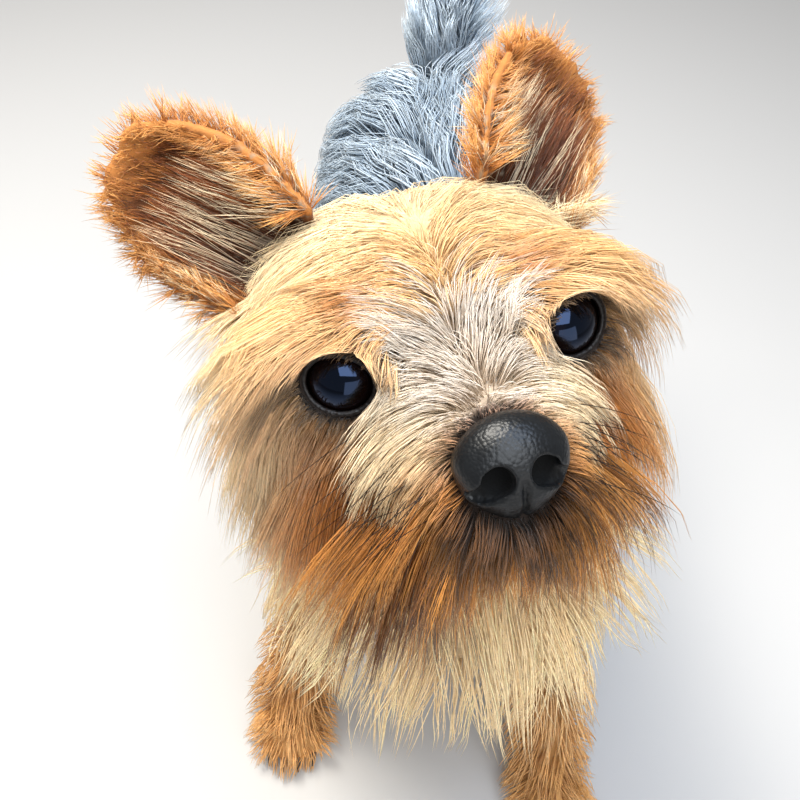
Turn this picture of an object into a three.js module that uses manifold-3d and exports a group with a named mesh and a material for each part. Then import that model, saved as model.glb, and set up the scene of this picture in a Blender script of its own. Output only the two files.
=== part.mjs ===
// A life-size Yorkshire terrier, standing and looking up, its head turned a little to its left.
// Millimetres, +Z up. The dog faces -Y and its left side is +X. The soles rest on z = 0.
import * as THREE from "three";
import { mergeVertices } from "three/addons/utils/BufferGeometryUtils.js";
import Module from "manifold-3d";

const wasm = await Module();
wasm.setup();

// Driving sizes. The head has a frame of its own: origin in the skull, -y to the nose, z up.
const GAP = 0.3; // clearance between touching parts
const HEAD_AT = [-15, -67, 216];
const HEAD_TURN = { turn: 9.5, lift: -30.7, tilt: -8.9 }; // degrees about Z, X and Y
const EYE = { radius: 9, at: [19.5, -18, 0], outward: 17 };
const EYE_OPENING = { wide: 14.4, high: 11.6 };
const LID_THICKNESS = 1.5;
const NOSE = { at: [0, -47.5, -11], wide: 18.6, deep: 12.5, high: 14 };
const NOSTRIL = { radius: 2.3, apart: 9.4, at: [-53, -11.5], flare: 28 };
const EAR = { length: 42, halfWidth: 16, thickness: 2.2, at: [24, 10, 15], cup: 75, steps: 6 };
const EARS = {
  right: { side: -1, splay: 44, lean: 22 },
  left: { side: 1, splay: 33, lean: 33 },
};
const PAW = { wide: 12, long: 16, high: 10, forward: 7 };

// Skull, cheeks and brows of the head, as centres and half sizes
const SKULL = [
  [[0, 8, 0], [30, 32, 24]],
  [[17, 2, -12], [15, 23, 16]],
  [[-17, 2, -12], [15, 23, 16]],
  [[16, -11, 0], [15, 13.5, 14]],
  [[-16, -11, 0], [15, 13.5, 14]],
];

// Flesh, as stations of [x, y, z, half width, half height] along each part
const MUZZLE = [
  [0, -4, -8, 19, 15],
  [0, -20, -10.5, 16, 13.5],
  [0, -29, -12.5, 13.5, 12.5],
  [0, -38, -14.5, 12, 11.5],
  [0, -45, -16, 10, 10],
  [0, -49, -17, 5, 5.5],
];
const TORSO = [
  [0, -82, 128, 12, 14],
  [0, -73, 128, 26, 30],
  [0, -52, 130, 36, 41],
  [0, -20, 133, 37, 40],
  [0, 10, 137, 36, 37],
  [0, 40, 142, 34, 34],
  [0, 68, 145, 34, 34],
  [0, 88, 147, 29, 30],
  [0, 99, 148, 13, 15],
];
const NECK = [
  [0, -36, 142, 26, 27],
  [-5, -44, 165, 24, 25],
  [-13, -50, 188, 22, 23],
  [-16, -56, 208, 19, 19],
];
const TAIL = [
  [0, 82, 156, 9, 9],
  [0, 92, 172, 8, 8],
  [2, 97, 190, 6.5, 6.5],
  [4, 97, 206, 4, 4],
];
const FRONT_LEFT = [
  [23, -46, 130, 13, 22],
  [31, -44, 104, 12, 15],
  [36, -56, 76, 9, 10],
  [42, -67, 44, 8, 8.5],
  [46, -74, 22, 8.5, 9],
  [47, -77, 6, 9, 10],
];
const FRONT_RIGHT = [
  [-23, -46, 130, 13, 22],
  [-31, -40, 104, 12, 15],
  [-36, -42, 76, 9, 10],
  [-40, -46, 44, 8, 8.5],
  [-43, -51, 22, 8.5, 9],
  [-45, -53, 6, 9, 10],
];
const HIND = [
  [21, 66, 134, 15, 28],
  [29, 58, 106, 14, 21],
  [32, 62, 80, 10, 13],
  [33, 79, 52, 8, 8.5],
  [34, 83, 28, 8, 8.5],
  [35, 79, 6, 9, 10],
];

const radians = THREE.MathUtils.degToRad;
const { clamp, lerp, smoothstep } = THREE.MathUtils;
const point = (x, y, z) => new THREE.Vector3(x, y, z);
const DOWN = point(0, 0, -1);
const mirrored = ([x, y, z, ...rest], side) => [x * side, y, z, ...rest];

// A seeded draw from 0 to 1, so that each build gives the same coat
let seed = 20417;
function draw() {
  seed = (seed * 1664525 + 1013904223) % 4294967296;
  return seed / 4294967296;
}
const vary = (value, share) => value * (1 + share * (2 * draw() - 1));

// A closed geometry as an exact solid
function solid(geometry) {
  const bare = new THREE.BufferGeometry().setAttribute("position", geometry.attributes.position);
  bare.setIndex(geometry.index);
  const merged = mergeVertices(bare, 1e-4);
  return new wasm.Manifold(
    new wasm.Mesh({
      numProp: 3,
      vertProperties: new Float32Array(merged.attributes.position.array),
      triVerts: new Uint32Array(merged.index.array),
    }),
  );
}

// A solid's surface as a geometry
function geometryOf(whole) {
  const mesh = whole.getMesh();
  return new THREE.BufferGeometry()
    .setAttribute("position", new THREE.BufferAttribute(new Float32Array(mesh.vertProperties), 3))
    .setIndex(new THREE.BufferAttribute(new Uint32Array(mesh.triVerts), 1));
}

// Joins in pairs, so that each step stays small
function join(pieces) {
  if (pieces.length === 1) return pieces[0];
  const half = Math.ceil(pieces.length / 2);
  return join(pieces.slice(0, half)).add(join(pieces.slice(half)));
}
const cut = (whole, pieces) => pieces.reduce((rest, piece) => rest.subtract(piece), whole);

// The largest closed body of a solid: this fills sealed hollows and drops loose scraps
function largest(whole) {
  return whole.decompose().reduce((best, body) => (body.volume() > best.volume() ? body : best));
}

// Rings of points joined in order, closed by a fan at each end
function ringSolid(rings) {
  const sides = rings[0].length;
  const ends = [rings[0], rings.at(-1)].map((ring) =>
    ring.reduce((sum, p) => sum.add(p), point(0, 0, 0)).divideScalar(sides),
  );
  const positions = [...rings.flat(), ...ends].flatMap((p) => p.toArray());
  const faces = [];
  const last = (rings.length - 1) * sides;
  for (let side = 0; side < sides; side++) {
    const next = (side + 1) % sides;
    for (let ring = 0; ring < rings.length - 1; ring++) {
      const [a, b] = [ring * sides, (ring + 1) * sides];
      faces.push(a + side, b + side, a + next, a + next, b + side, b + next);
    }
    faces.push(rings.length * sides, side, next);
    faces.push(rings.length * sides + 1, last + next, last + side);
  }
  return solid(
    new THREE.BufferGeometry()
      .setAttribute("position", new THREE.Float32BufferAttribute(positions, 3))
      .setIndex(faces),
  );
}

// The ellipse of a run of stations at t from 0 to 1, square to its path
function ellipseAt(stations, t) {
  const path = new THREE.CatmullRomCurve3(stations.map(([x, y, z]) => point(x, y, z)));
  const sizes = new THREE.CatmullRomCurve3(stations.map((s) => point(s[3], s[4], 0)));
  const along = path.getTangent(t);
  const up = point(1, 0, 0).cross(along).normalize();
  const across = along.clone().cross(up).normalize();
  const { x: wide, y: high } = sizes.getPoint(t);
  return { centre: path.getPoint(t), along, up, across, wide, high };
}

// A trunk, limb or muzzle of flesh, grown outwards by a margin
function flesh(stations, rings, sides, grow = 0) {
  const made = [];
  for (let ring = 0; ring <= rings; ring++) {
    const { centre, along, up, across, wide, high } = ellipseAt(stations, ring / rings);
    if (ring === 0) centre.addScaledVector(along, -grow);
    if (ring === rings) centre.addScaledVector(along, grow);
    made.push(
      Array.from({ length: sides }, (_, side) => {
        const angle = (side / sides) * 2 * Math.PI;
        return centre
          .clone()
          .addScaledVector(across, Math.cos(angle) * (wide + grow))
          .addScaledVector(up, Math.sin(angle) * (high + grow));
      }),
    );
  }
  return ringSolid(made);
}

function ball(at, sizes, sides = 14, rows = 9) {
  return solid(new THREE.SphereGeometry(1, sides, rows).scale(...sizes).translate(...at));
}

// Guards move a point out to the surface of a part if it is within a margin of it: they keep a lock
// lying on its own part and clear of the others
function guardRun(stations, margin, matrix = new THREE.Matrix4()) {
  const samples = Array.from({ length: 25 }, (_, i) => ellipseAt(stations, i / 24));
  for (const sample of samples) {
    sample.centre.applyMatrix4(matrix);
    for (const axis of [sample.up, sample.across, sample.along]) axis.transformDirection(matrix);
  }
  return (p, loft) => {
    const nearest = samples.reduce((a, b) => (a.centre.distanceTo(p) < b.centre.distanceTo(p) ? a : b));
    const off = p.clone().sub(nearest.centre);
    const [wide, high] = [nearest.wide + margin + loft, nearest.high + margin + loft];
    if (Math.abs(off.dot(nearest.along)) > wide) return;
    const [a, b] = [off.dot(nearest.across) / wide, off.dot(nearest.up) / high];
    const depth = Math.hypot(a, b);
    if (depth > 1 || depth < 0.05) return;
    p.addScaledVector(nearest.across, a * wide * (1 / depth - 1));
    p.addScaledVector(nearest.up, b * high * (1 / depth - 1));
  };
}
function guardBall(at, sizes, margin) {
  const centre = point(...at);
  return (p, loft) => {
    const grown = point(...sizes).addScalar(margin + loft);
    const off = p.clone().sub(centre).divide(grown);
    if (off.length() < 1) p.copy(off.normalize().multiply(grown).add(centre));
  };
}

// Locks

// Where a ray from inside a part leaves its surface
function rootOn(surface, from, towards) {
  const hits = new THREE.Raycaster(from, towards.clone().normalize()).intersectObject(surface);
  if (!hits.length) return null;
  const hit = hits.at(-1);
  return { at: hit.point, out: hit.face.normal.clone() };
}
function surfaceOf(whole) {
  return new THREE.Mesh(geometryOf(whole), new THREE.MeshBasicMaterial({ side: THREE.DoubleSide }));
}

const LOCK_STEPS = [0, 0.34, 0.74, 1];
const LOCK_WIDTHS = [0.6, 1, 0.72, 0];

// The line a lock follows: off its root along the lie, bent by its droop, on its own part by hug and
// clear of others by guards. Loft is how far its tip stands off its own part.
function lockLine({ at, out }, shape) {
  const { lie, length, lift = 0.3, droop = 0, down = DOWN } = shape;
  const { sink = 3, loft = 6, hug = [], guards = [] } = shape;
  const way = lie.clone().projectOnPlane(out).normalize();
  const heading = way.clone().multiplyScalar(Math.cos(lift)).addScaledVector(out, Math.sin(lift));
  const line = [at.clone().addScaledVector(out, -sink).addScaledVector(way, -sink * 0.4)];
  const tip = at.clone();
  for (let step = 1; step < LOCK_STEPS.length; step++) {
    const stride = LOCK_STEPS[step] - LOCK_STEPS[step - 1];
    const before = tip.clone();
    heading.addScaledVector(down, stride * droop).normalize();
    tip.addScaledVector(heading, stride * length);
    for (const guard of hug) guard(tip, loft * LOCK_STEPS[step]);
    for (const guard of guards) guard(tip, 0);
    heading.copy(tip).sub(before).normalize();
    line.push(tip.clone());
  }
  return line;
}

// A flat, tapered lock: a ridge on top, a flat underside, and a point at its tip
function lock(root, shape, grow = 0) {
  const line = lockLine(root, shape);
  const { width, thickness = shape.width * 0.34 } = shape;
  const rings = [];
  for (let step = 0; step < line.length - 1; step++) {
    const before = line[Math.max(step - 1, 0)];
    const along = line[step + 1].clone().sub(before).normalize();
    const out = root.out.clone().projectOnPlane(along).normalize();
    const across = along.clone().cross(out);
    const half = (width / 2) * LOCK_WIDTHS[step] + grow * 1.5;
    const rise = thickness * (0.4 + 0.6 * LOCK_WIDTHS[step]) * 0.5 + grow * 1.5;
    const spot = line[step];
    rings.push([
      spot.clone().addScaledVector(across, half).addScaledVector(out, -rise * 0.6),
      spot.clone().addScaledVector(out, rise * 1.2),
      spot.clone().addScaledVector(across, -half).addScaledVector(out, -rise * 0.6),
    ]);
  }
  const tip = line.at(-1).clone();
  tip.addScaledVector(tip.clone().sub(line.at(-2)).normalize(), grow);
  const positions = [...rings.flat(), tip].flatMap((p) => p.toArray());
  const faces = [0, 1, 2];
  for (let step = 0; step < rings.length - 1; step++)
    for (let side = 0; side < 3; side++) {
      const [a, b] = [step * 3 + side, step * 3 + ((side + 1) % 3)];
      faces.push(a, a + 3, b, b, a + 3, b + 3);
    }
  const last = (rings.length - 1) * 3;
  for (let side = 0; side < 3; side++) faces.push(last + side, rings.length * 3, last + ((side + 1) % 3));
  const geometry = new THREE.BufferGeometry()
    .setAttribute("position", new THREE.Float32BufferAttribute(positions, 3))
    .setIndex(faces);
  const made = solid(geometry);
  if (made.volume() > 0) return made;
  for (let i = 0; i < faces.length; i += 3) [faces[i + 1], faces[i + 2]] = [faces[i + 2], faces[i + 1]];
  return solid(geometry.setIndex(faces));
}

// Rooted locks as a list of [root, shape], so that they can be made at their size or grown as cutters
const locksOf = (rooted, grow = 0) => rooted.map(([root, shape]) => lock(root, shape, grow));

// Even directions over a sphere, by the golden angle
function spread(count) {
  return Array.from({ length: count }, (_, i) => {
    const z = 1 - (2 * i + 1) / count;
    const angle = i * Math.PI * (3 - Math.sqrt(5));
    const r = Math.sqrt(1 - z * z);
    return point(r * Math.cos(angle), r * Math.sin(angle), z);
  });
}

// Head

const headMatrix = new THREE.Matrix4()
  .makeRotationFromEuler(
    new THREE.Euler(radians(HEAD_TURN.lift), radians(HEAD_TURN.tilt), radians(HEAD_TURN.turn), "ZXY"),
  )
  .setPosition(...HEAD_AT);
const intoHead = headMatrix.clone().invert();
const headDown = DOWN.clone().transformDirection(intoHead);
const placed = (whole, matrix) => solid(geometryOf(whole).applyMatrix4(matrix));

function skull(grow = 0) {
  const bones = SKULL.map(([at, sizes]) => ball(at, sizes.map((size) => size + grow), 13, 8));
  return join([...bones, flesh(MUZZLE, 6, 10, grow)]);
}

function eyeball(side, grow = 0) {
  const radius = EYE.radius + grow;
  return ball(mirrored(EYE.at, side), [radius, radius, radius], 16, 9);
}

// Lids: a thin cap over the eyeball with an almond opening
function lids(side) {
  const radius = EYE.radius + LID_THICKNESS;
  const [wide, high] = [EYE_OPENING.wide / 2, EYE_OPENING.high / 2];
  const almond = new THREE.Shape();
  almond.moveTo(-wide, 0);
  almond.bezierCurveTo(-wide * 0.6, high * 1.3, wide * 0.6, high * 1.3, wide, 0);
  almond.bezierCurveTo(wide * 0.6, -high * 1.3, -wide * 0.6, -high * 1.3, -wide, 0);
  const opening = new THREE.ExtrudeGeometry(almond, { depth: 20, bevelEnabled: false, curveSegments: 4 });
  opening.rotateX(Math.PI / 2).rotateZ(radians(EYE.outward * side)).translate(...mirrored(EYE.at, side));
  return ball(mirrored(EYE.at, side), [radius, radius, radius], 14, 9).subtract(solid(opening));
}

// Lips: two soft rolls that meet in the line of the mouth
function lips() {
  const line = [
    [-15, -17, -20.5],
    [-13, -30, -22.5],
    [-9, -42, -22.5],
    [0, -48, -22],
    [9, -42, -22.5],
    [13, -30, -22.5],
    [15, -17, -20.5],
  ];
  return [
    [1.6, 2.1],
    [-1.6, 1.8],
  ].map(([rise, radius]) => flesh(line.map(([x, y, z]) => [x, y, z + rise, radius, radius]), 8, 5));
}

function nosePad(grow = 0) {
  return ball(NOSE.at, [NOSE.wide / 2 + grow, NOSE.deep / 2 + grow, NOSE.high / 2 + grow], 14, 8);
}

// The nose leather with its two nostrils, each opening to the side in a slit, and the groove between
function nose() {
  const [y, z] = NOSTRIL.at;
  const nostrils = [1, -1].flatMap((side) => [
    solid(
      new THREE.CylinderGeometry(NOSTRIL.radius, NOSTRIL.radius * 0.5, 8, 8)
        .rotateX(Math.PI / 2)
        .rotateZ(radians(NOSTRIL.flare * side))
        .translate((NOSTRIL.apart / 2) * side, y + 1, z),
    ),
    solid(
      new THREE.BoxGeometry(6, 7, 1.1)
        .rotateY(radians(18 * side))
        .translate((NOSTRIL.apart / 2 + 3) * side, y + 2.5, z - 1.3),
    ),
  ]);
  const groove = solid(new THREE.BoxGeometry(0.7, 3, 6).translate(0, y - 0.6, z - 5));
  return cut(nosePad(), [...nostrils, groove]);
}

// The frame of an ear: along its length, out of its cup, and across
function earFrame({ side, splay, lean }) {
  const along = point(
    Math.sin(radians(splay)) * side,
    Math.cos(radians(splay)) * Math.sin(radians(lean)),
    Math.cos(radians(splay)) * Math.cos(radians(lean)),
  );
  const front = point(0.45 * side, -1, 0.1).projectOnPlane(along).normalize();
  const across = along.clone().cross(front).normalize();
  return { base: point(...mirrored(EAR.at, side)), along, front, across };
}

// A point of the ear's leather: t from base to tip, v from -1 to 1 across, offset from its middle
function earPoint(spec, t, v, offset) {
  const { base, along, front, across } = earFrame(spec);
  const half = EAR.halfWidth * (0.8 + 0.9 * t - 0.65 * t * t) * Math.sqrt(1 - 0.93 * t ** 3);
  const cup = radians(EAR.cup * (1 - 0.55 * t));
  const radius = half / Math.sin(Math.min(cup, Math.PI / 2));
  return base
    .addScaledVector(along, t * EAR.length)
    .addScaledVector(across, Math.sin(v * cup) * (radius + offset))
    .addScaledVector(front, radius - Math.cos(v * cup) * (radius + offset) - half * 0.4);
}

// Two sheets of points, back to back and closed round their edge, both split into triangles alike
function leaf(inner, outer) {
  const [rows, columns] = [inner.length, inner[0].length];
  const positions = [...inner.flat(), ...outer.flat()].flatMap((p) => p.toArray());
  const back = rows * columns;
  const at = (row, column) => row * columns + column;
  const faces = [];
  for (let row = 0; row < rows - 1; row++)
    for (let column = 0; column < columns - 1; column++) {
      const [a, b] = [at(row, column), at(row + 1, column)];
      const [c, d] = [b + 1, a + 1];
      faces.push(a, b, c, a, c, d, a + back, c + back, b + back, a + back, d + back, c + back);
    }
  const rim = [];
  for (let column = 0; column < columns - 1; column++) rim.push(at(0, column));
  for (let row = 0; row < rows - 1; row++) rim.push(at(row, columns - 1));
  for (let column = columns - 1; column > 0; column--) rim.push(at(rows - 1, column));
  for (let row = rows - 1; row > 0; row--) rim.push(at(row, 0));
  rim.forEach((from, i) => {
    const to = rim[(i + 1) % rim.length];
    faces.push(from, to, to + back, from, to + back, from + back);
  });
  const geometry = new THREE.BufferGeometry()
    .setAttribute("position", new THREE.Float32BufferAttribute(positions, 3))
    .setIndex(faces);
  const made = solid(geometry);
  if (made.volume() > 0) return made;
  for (let i = 0; i < faces.length; i += 3) [faces[i + 1], faces[i + 2]] = [faces[i + 2], faces[i + 1]];
  return solid(geometry.setIndex(faces));
}

function earLeather(spec) {
  const sheet = (offset) =>
    Array.from({ length: EAR.steps + 1 }, (_, row) =>
      Array.from({ length: EAR.steps + 1 }, (_, column) =>
        earPoint(spec, row / EAR.steps, (column / EAR.steps) * 2 - 1, offset),
      ),
    );
  return leaf(sheet(-EAR.thickness / 2), sheet(EAR.thickness / 2));
}

// Fringe along both edges and over the tip, and long hair rising out of the cup
function earLocks(spec) {
  const { along, front, across } = earFrame(spec);
  const rooted = [];
  for (const edge of [-1, 1])
    for (const t of [0.14, 0.36, 0.58, 0.78])
      rooted.push([
        { at: earPoint(spec, t, edge * 0.9, 0), out: front.clone() },
        {
          lie: along.clone().addScaledVector(across, edge * 0.4),
          length: vary(15, 0.15),
          width: 7,
          thickness: 1.8,
          lift: 0.08,
          sink: 0.4,
        },
      ]);
  const tuft = (t, v, offset, shape) => {
    const lie = along.clone().addScaledVector(across, v * 0.5);
    rooted.push([{ at: earPoint(spec, t, v, offset), out: front.clone() }, { lie, ...shape }]);
  };
  const tip = { length: 12, width: 8, thickness: 1.8, lift: 0, sink: 0.4 };
  for (const v of [-0.5, 0, 0.5]) tuft(0.9, v, 0, tip);
  for (const v of [-0.45, -0.1, 0.3])
    tuft(0.16, v, -1, { length: vary(26, 0.1), width: 5, lift: 0.25, sink: 1.6 });
  return rooted;
}

// The coat of the head parts above the nose: up and back over the crown, out over the brows, down
// the cheeks, and into the moustache and beard
const PARTING = point(0, -40, 0);
function headLocks() {
  const surface = surfaceOf(skull());
  const eyes = [1, -1].map((side) => point(...mirrored(EYE.at, side)));
  const ears = [1, -1].map((side) => point(...mirrored(EAR.at, side)));
  const near = (spots, at) => Math.min(...spots.map((spot) => spot.distanceTo(at)));
  const hug = [...SKULL.map(([at, sizes]) => guardBall(at, sizes, 1)), guardRun(MUZZLE, 1)];
  const round = EYE.radius + 2.6;
  const guards = [
    ...[1, -1].map((side) => guardBall(mirrored(EYE.at, side), [round, round, round], 0)),
    guardBall(NOSE.at, [10.5, 8, 8.5], 0),
    guardRun(NECK, 4, intoHead),
    guardRun(TORSO, 8, intoHead),
  ];
  const neckInside = guardRun(NECK, 1, intoHead);
  const rooted = [];
  const grow = (root, shape) => rooted.push([root, { hug, guards, down: headDown, ...shape }]);
  for (const way of spread(72)) {
    const root = rootOn(surface, point(0, 3, -4), way);
    const { x, y, z } = root.at;
    const inNeck = root.at.clone();
    neckInside(inNeck, 0);
    if (near(eyes, root.at) < 12.5 || near(ears, root.at) < 11 || y < -22) continue;
    if (!inNeck.equals(root.at) || (z < -21 && y > -14)) continue;
    const side = smoothstep(Math.abs(x), 15, 27);
    const fall = side + (z < -8 ? 0.9 : 0);
    grow(root, {
      lie: root.at.clone().sub(PARTING).normalize().addScaledVector(headDown, 1.2 * fall),
      length: vary(lerp(26, 40, side), 0.12) * (z < -18 ? 0.75 : 1),
      width: 10,
      lift: lerp(0.15, 0.8, side),
      loft: lerp(5, 9, side),
      droop: lerp(0.2, 1.1, side),
    });
  }
  // Short hair on the bridge of the nose and the stop
  for (const [x, y] of [[0, -36], [-6, -28], [6, -28], [0, -20]])
    grow(rootOn(surface, point(x * 0.6, y, -12), point(x * 0.4, 0, 10)), {
      lie: point(x * 0.12, 1, 0.2),
      length: 14,
      width: 6,
      lift: 0.3,
      loft: 2.5,
      sink: 1.5,
    });
  // Moustache: rows down each side of the muzzle, brushed out and down
  for (const side of [1, -1])
    for (let row = 0; row < 4; row++)
      for (let step = 0; step < (row < 3 ? 3 : 2); step++) {
        const y = -20 - row * 7 - (step % 2) * 2;
        const angle = radians(30 - step * 38 - row * 4);
        const { centre } = ellipseAt(MUZZLE, clamp((-y - 4) / 45, 0, 1));
        const root = rootOn(surface, centre, point(Math.cos(angle) * side, 0, Math.sin(angle)));
        if (near(eyes, root.at) < 12.5) continue;
        grow(root, {
          lie: root.at.clone().sub(PARTING).normalize().addScaledVector(headDown, 0.9),
          length: vary(22 + step * 4 + (side < 0 ? 4 : 0), 0.12),
          width: 5.8,
          lift: 0.55,
          loft: 5,
          droop: 0.8,
        });
      }
  // Chin
  for (const [x, y] of [[-5, -32], [5, -33], [0, -40]])
    grow(rootOn(surface, point(0, y, -16), point(x, 0, -10)), {
      lie: point(x * 0.06, -0.8, -0.4),
      length: vary(20, 0.12),
      width: 5.5,
      lift: 0.9,
      droop: 1,
    });
  return rooted;
}

// Trunk and limbs

const trunk = (grow) => flesh(TORSO, 11, 14, grow);
const throat = (grow) => flesh(NECK, 5, 12, grow);

function limb(stations, grow = 0) {
  const [x, y] = stations.at(-1);
  const sizes = [PAW.wide + grow, PAW.long + grow, PAW.high + grow];
  const paw = ball([x, y - PAW.forward, PAW.high * 0.6], sizes, 12, 7);
  return flesh(stations, 7, 8, grow).add(paw);
}
const GROUND = solid(new THREE.BoxGeometry(400, 400, 100).translate(0, 0, -50));
const hindLeg = (side) => HIND.map((station) => mirrored(station, side));
const LEGS = {
  leg_front_left: FRONT_LEFT,
  leg_front_right: FRONT_RIGHT,
  leg_hind_left: hindLeg(1),
  leg_hind_right: hindLeg(-1),
};

// Roots in staggered rings round a run of stations. Angle 0 is its left, 90 its top or front.
function ringRoots(stations, surface, rings, perRing, from, to) {
  const roots = [];
  for (let ring = 0; ring < rings; ring++) {
    const t = lerp(from, to, ring / (rings - 1));
    const { centre, across, up } = ellipseAt(stations, t);
    for (let step = 0; step < perRing; step++) {
      const angle = ((step + (ring % 2) / 2 + 0.2 * draw()) / perRing) * 2 * Math.PI;
      const way = across.clone().multiplyScalar(Math.cos(angle)).addScaledVector(up, Math.sin(angle));
      const root = rootOn(surface, centre, way);
      if (root) roots.push({ ...root, t });
    }
  }
  return roots;
}

// A ruff round the neck, falling over the shoulders and the breast
function neckLocks() {
  const surface = surfaceOf(throat(0));
  const hug = [guardRun(NECK, 1), guardRun(TORSO, 4)];
  const inTrunk = guardRun(TORSO, 1);
  const rooted = [];
  for (const root of ringRoots(NECK, surface, 3, 6, 0.34, 0.84)) {
    const moved = root.at.clone();
    inTrunk(moved, 0);
    if (!moved.equals(root.at)) continue;
    const front = smoothstep(-root.out.y, -0.2, 0.7);
    const shape = { lie: DOWN, width: 16, thickness: 4, lift: lerp(0.4, 0.6, front), droop: 0.8, hug };
    rooted.push([root, { ...shape, length: vary(lerp(30, 44, front), 0.12), loft: lerp(6, 10, front) }]);
  }
  return rooted;
}

// Parted along the back, down and back over the sides, longer on the chest
function torsoLocks() {
  const surface = surfaceOf(trunk(0));
  const hug = [guardRun(TORSO, 1)];
  const legGuards = Object.values(LEGS).map((stations) => guardRun(stations, 4));
  const covered = [...Object.values(LEGS).map((s) => guardRun(s, 1)), guardRun(NECK, 1), guardRun(TAIL, 1)];
  const rooted = [];
  // The breast and the rump, past the rings
  const shape = { length: 38, width: 17, thickness: 4.2, lift: 0.35, loft: 7, droop: 0.6, hug };
  for (const [x, y, z] of [[-7, -1, 6], [7, -1, 5], [0, -1, -7], [-9, 1, 6], [9, 1, 4], [0, 1, -6]]) {
    const root = rootOn(surface, point(0, y < 0 ? -62 : 78, y < 0 ? 128 : 146), point(x, y * 22, z));
    rooted.push([root, { lie: point(x * 0.05, 0, -1), ...shape }]);
  }
  for (const root of ringRoots(TORSO, surface, 9, 7, 0.05, 0.94)) {
    const moved = root.at.clone();
    for (const guard of covered) guard(moved, 0);
    if (!moved.equals(root.at)) continue;
    const outward = clamp(root.at.x / 22, -1, 1);
    const under = smoothstep(-root.out.z, 0.2, 0.9);
    const chest = 1 - smoothstep(root.t, 0.08, 0.3);
    rooted.push([
      root,
      {
        lie: point(outward * (0.9 - 0.6 * chest), lerp(0.8, 0.1, chest), -0.5 - chest),
        length: vary(lerp(44, 24, under), 0.12),
        width: vary(21, 0.1),
        thickness: 4.2,
        lift: lerp(lerp(0.25, 0.5, chest), 0.4, under),
        loft: 8,
        droop: lerp(0.5, 0.9, chest) * (1 - 0.6 * Math.max(root.out.z, 0)),
        hug,
        guards: legGuards,
      },
    ]);
  }
  return rooted;
}

// Down the leg, fuller behind, curling out over the paw
function legLocks(stations) {
  const surface = surfaceOf(limb(stations));
  const hug = [guardRun(stations, 1)];
  return ringRoots(stations, surface, 4, 4, 0.18, 0.88).map((root) => {
    const low = 1 - smoothstep(root.at.z, 12, 34);
    return [
      root,
      {
        lie: DOWN,
        length: vary(lerp(34, Math.min(15, root.at.z * 0.8), low), 0.12),
        width: lerp(12, 17, smoothstep(root.at.z, 70, 110)),
        lift: lerp(0.3, 0.6, low),
        loft: 5,
        hug,
      },
    ];
  });
}

function tailLocks() {
  const surface = surfaceOf(flesh(TAIL, 5, 8));
  const hug = [guardRun(TAIL, 1)];
  const shape = { lie: point(0, 0.3, 1), width: 11, lift: 0.3, loft: 5, droop: 0.4, hug };
  const roots = ringRoots(TAIL, surface, 4, 3, 0.3, 0.95);
  return roots.map((root) => [root, { ...shape, length: vary(25, 0.12) }]);
}

// Assembly: each part is cut clear of those it meets

const coat = { head: headLocks(), neck: neckLocks(), torso: torsoLocks(), tail: tailLocks() };
const head = cut(join([skull(), lids(1), lids(-1), ...lips(), ...locksOf(coat.head)]), [
  eyeball(1, GAP),
  eyeball(-1, GAP),
  nosePad(GAP),
]);
const headClear = join([head, skull(GAP), ...locksOf(coat.head, GAP)]);
const headCutter = placed(headClear, headMatrix);
const fullTorso = join([trunk(0), ...locksOf(coat.torso)]);
const trunkCutter = join([fullTorso, trunk(GAP), ...locksOf(coat.torso, GAP)]);
const fullNeck = join([throat(0), ...locksOf(coat.neck)]);
const neckCutter = join([fullNeck, throat(GAP), ...locksOf(coat.neck, GAP)]);

const coatOf = (color) => new THREE.MeshStandardMaterial({ color, roughness: 0.75, metalness: 0 });
const MATERIALS = {
  tan: coatOf("#c98a4b"),
  cream: coatOf("#dcc096"),
  blue: coatOf("#8795a3"),
  ear: coatOf("#b0763a"),
  nose: new THREE.MeshStandardMaterial({ color: "#22262b", roughness: 0.45, metalness: 0 }),
  eye: new THREE.MeshStandardMaterial({ color: "#120c0a", roughness: 0.08, metalness: 0 }),
};

function named(name, whole, material) {
  const mesh = new THREE.Mesh(geometryOf(largest(whole)), material);
  mesh.name = name;
  return mesh;
}

const headGroup = new THREE.Group();
headGroup.applyMatrix4(headMatrix);
headGroup.add(
  named("head", head, MATERIALS.tan),
  named("nose", nose(), MATERIALS.nose),
  named("eye_left", eyeball(1), MATERIALS.eye),
  named("eye_right", eyeball(-1), MATERIALS.eye),
);
for (const [name, spec] of Object.entries(EARS)) {
  const whole = join([earLeather(spec), ...locksOf(earLocks(spec))]);
  headGroup.add(named("ear_" + name, whole.subtract(headClear), MATERIALS.ear));
}

const dog = new THREE.Group();
dog.add(
  headGroup,
  named("neck", cut(fullNeck, [headCutter, trunkCutter]), MATERIALS.cream),
  named("torso", cut(fullTorso, [throat(GAP), headCutter]), MATERIALS.blue),
  named("tail", join([flesh(TAIL, 5, 8), ...locksOf(coat.tail)]).subtract(trunkCutter), MATERIALS.blue),
);
for (const [name, stations] of Object.entries(LEGS)) {
  const whole = join([limb(stations), ...locksOf(legLocks(stations))]);
  dog.add(named(name, cut(whole, [GROUND, trunkCutter, neckCutter]), MATERIALS.tan));
}

// The origin is on the ground, under the middle of the bounding box
dog.updateMatrixWorld(true);
const box = new THREE.Box3().setFromObject(dog, true);
dog.position.set(-(box.min.x + box.max.x) / 2, -(box.min.y + box.max.y) / 2, 0);

export default dog;
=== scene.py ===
"""A standing Yorkshire terrier that looks up at the viewer.

Its skin, eyes, nose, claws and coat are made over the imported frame. Sizes are millimetres in the dog's own
frame, which has +Z up, -Y ahead and the dog's left at +X. The head has a frame of its own: x to its left, y
to its back, z up. Meshes are written in metres in the row frame.
"""

import logging
import math
from dataclasses import dataclass
from enum import IntEnum

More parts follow.
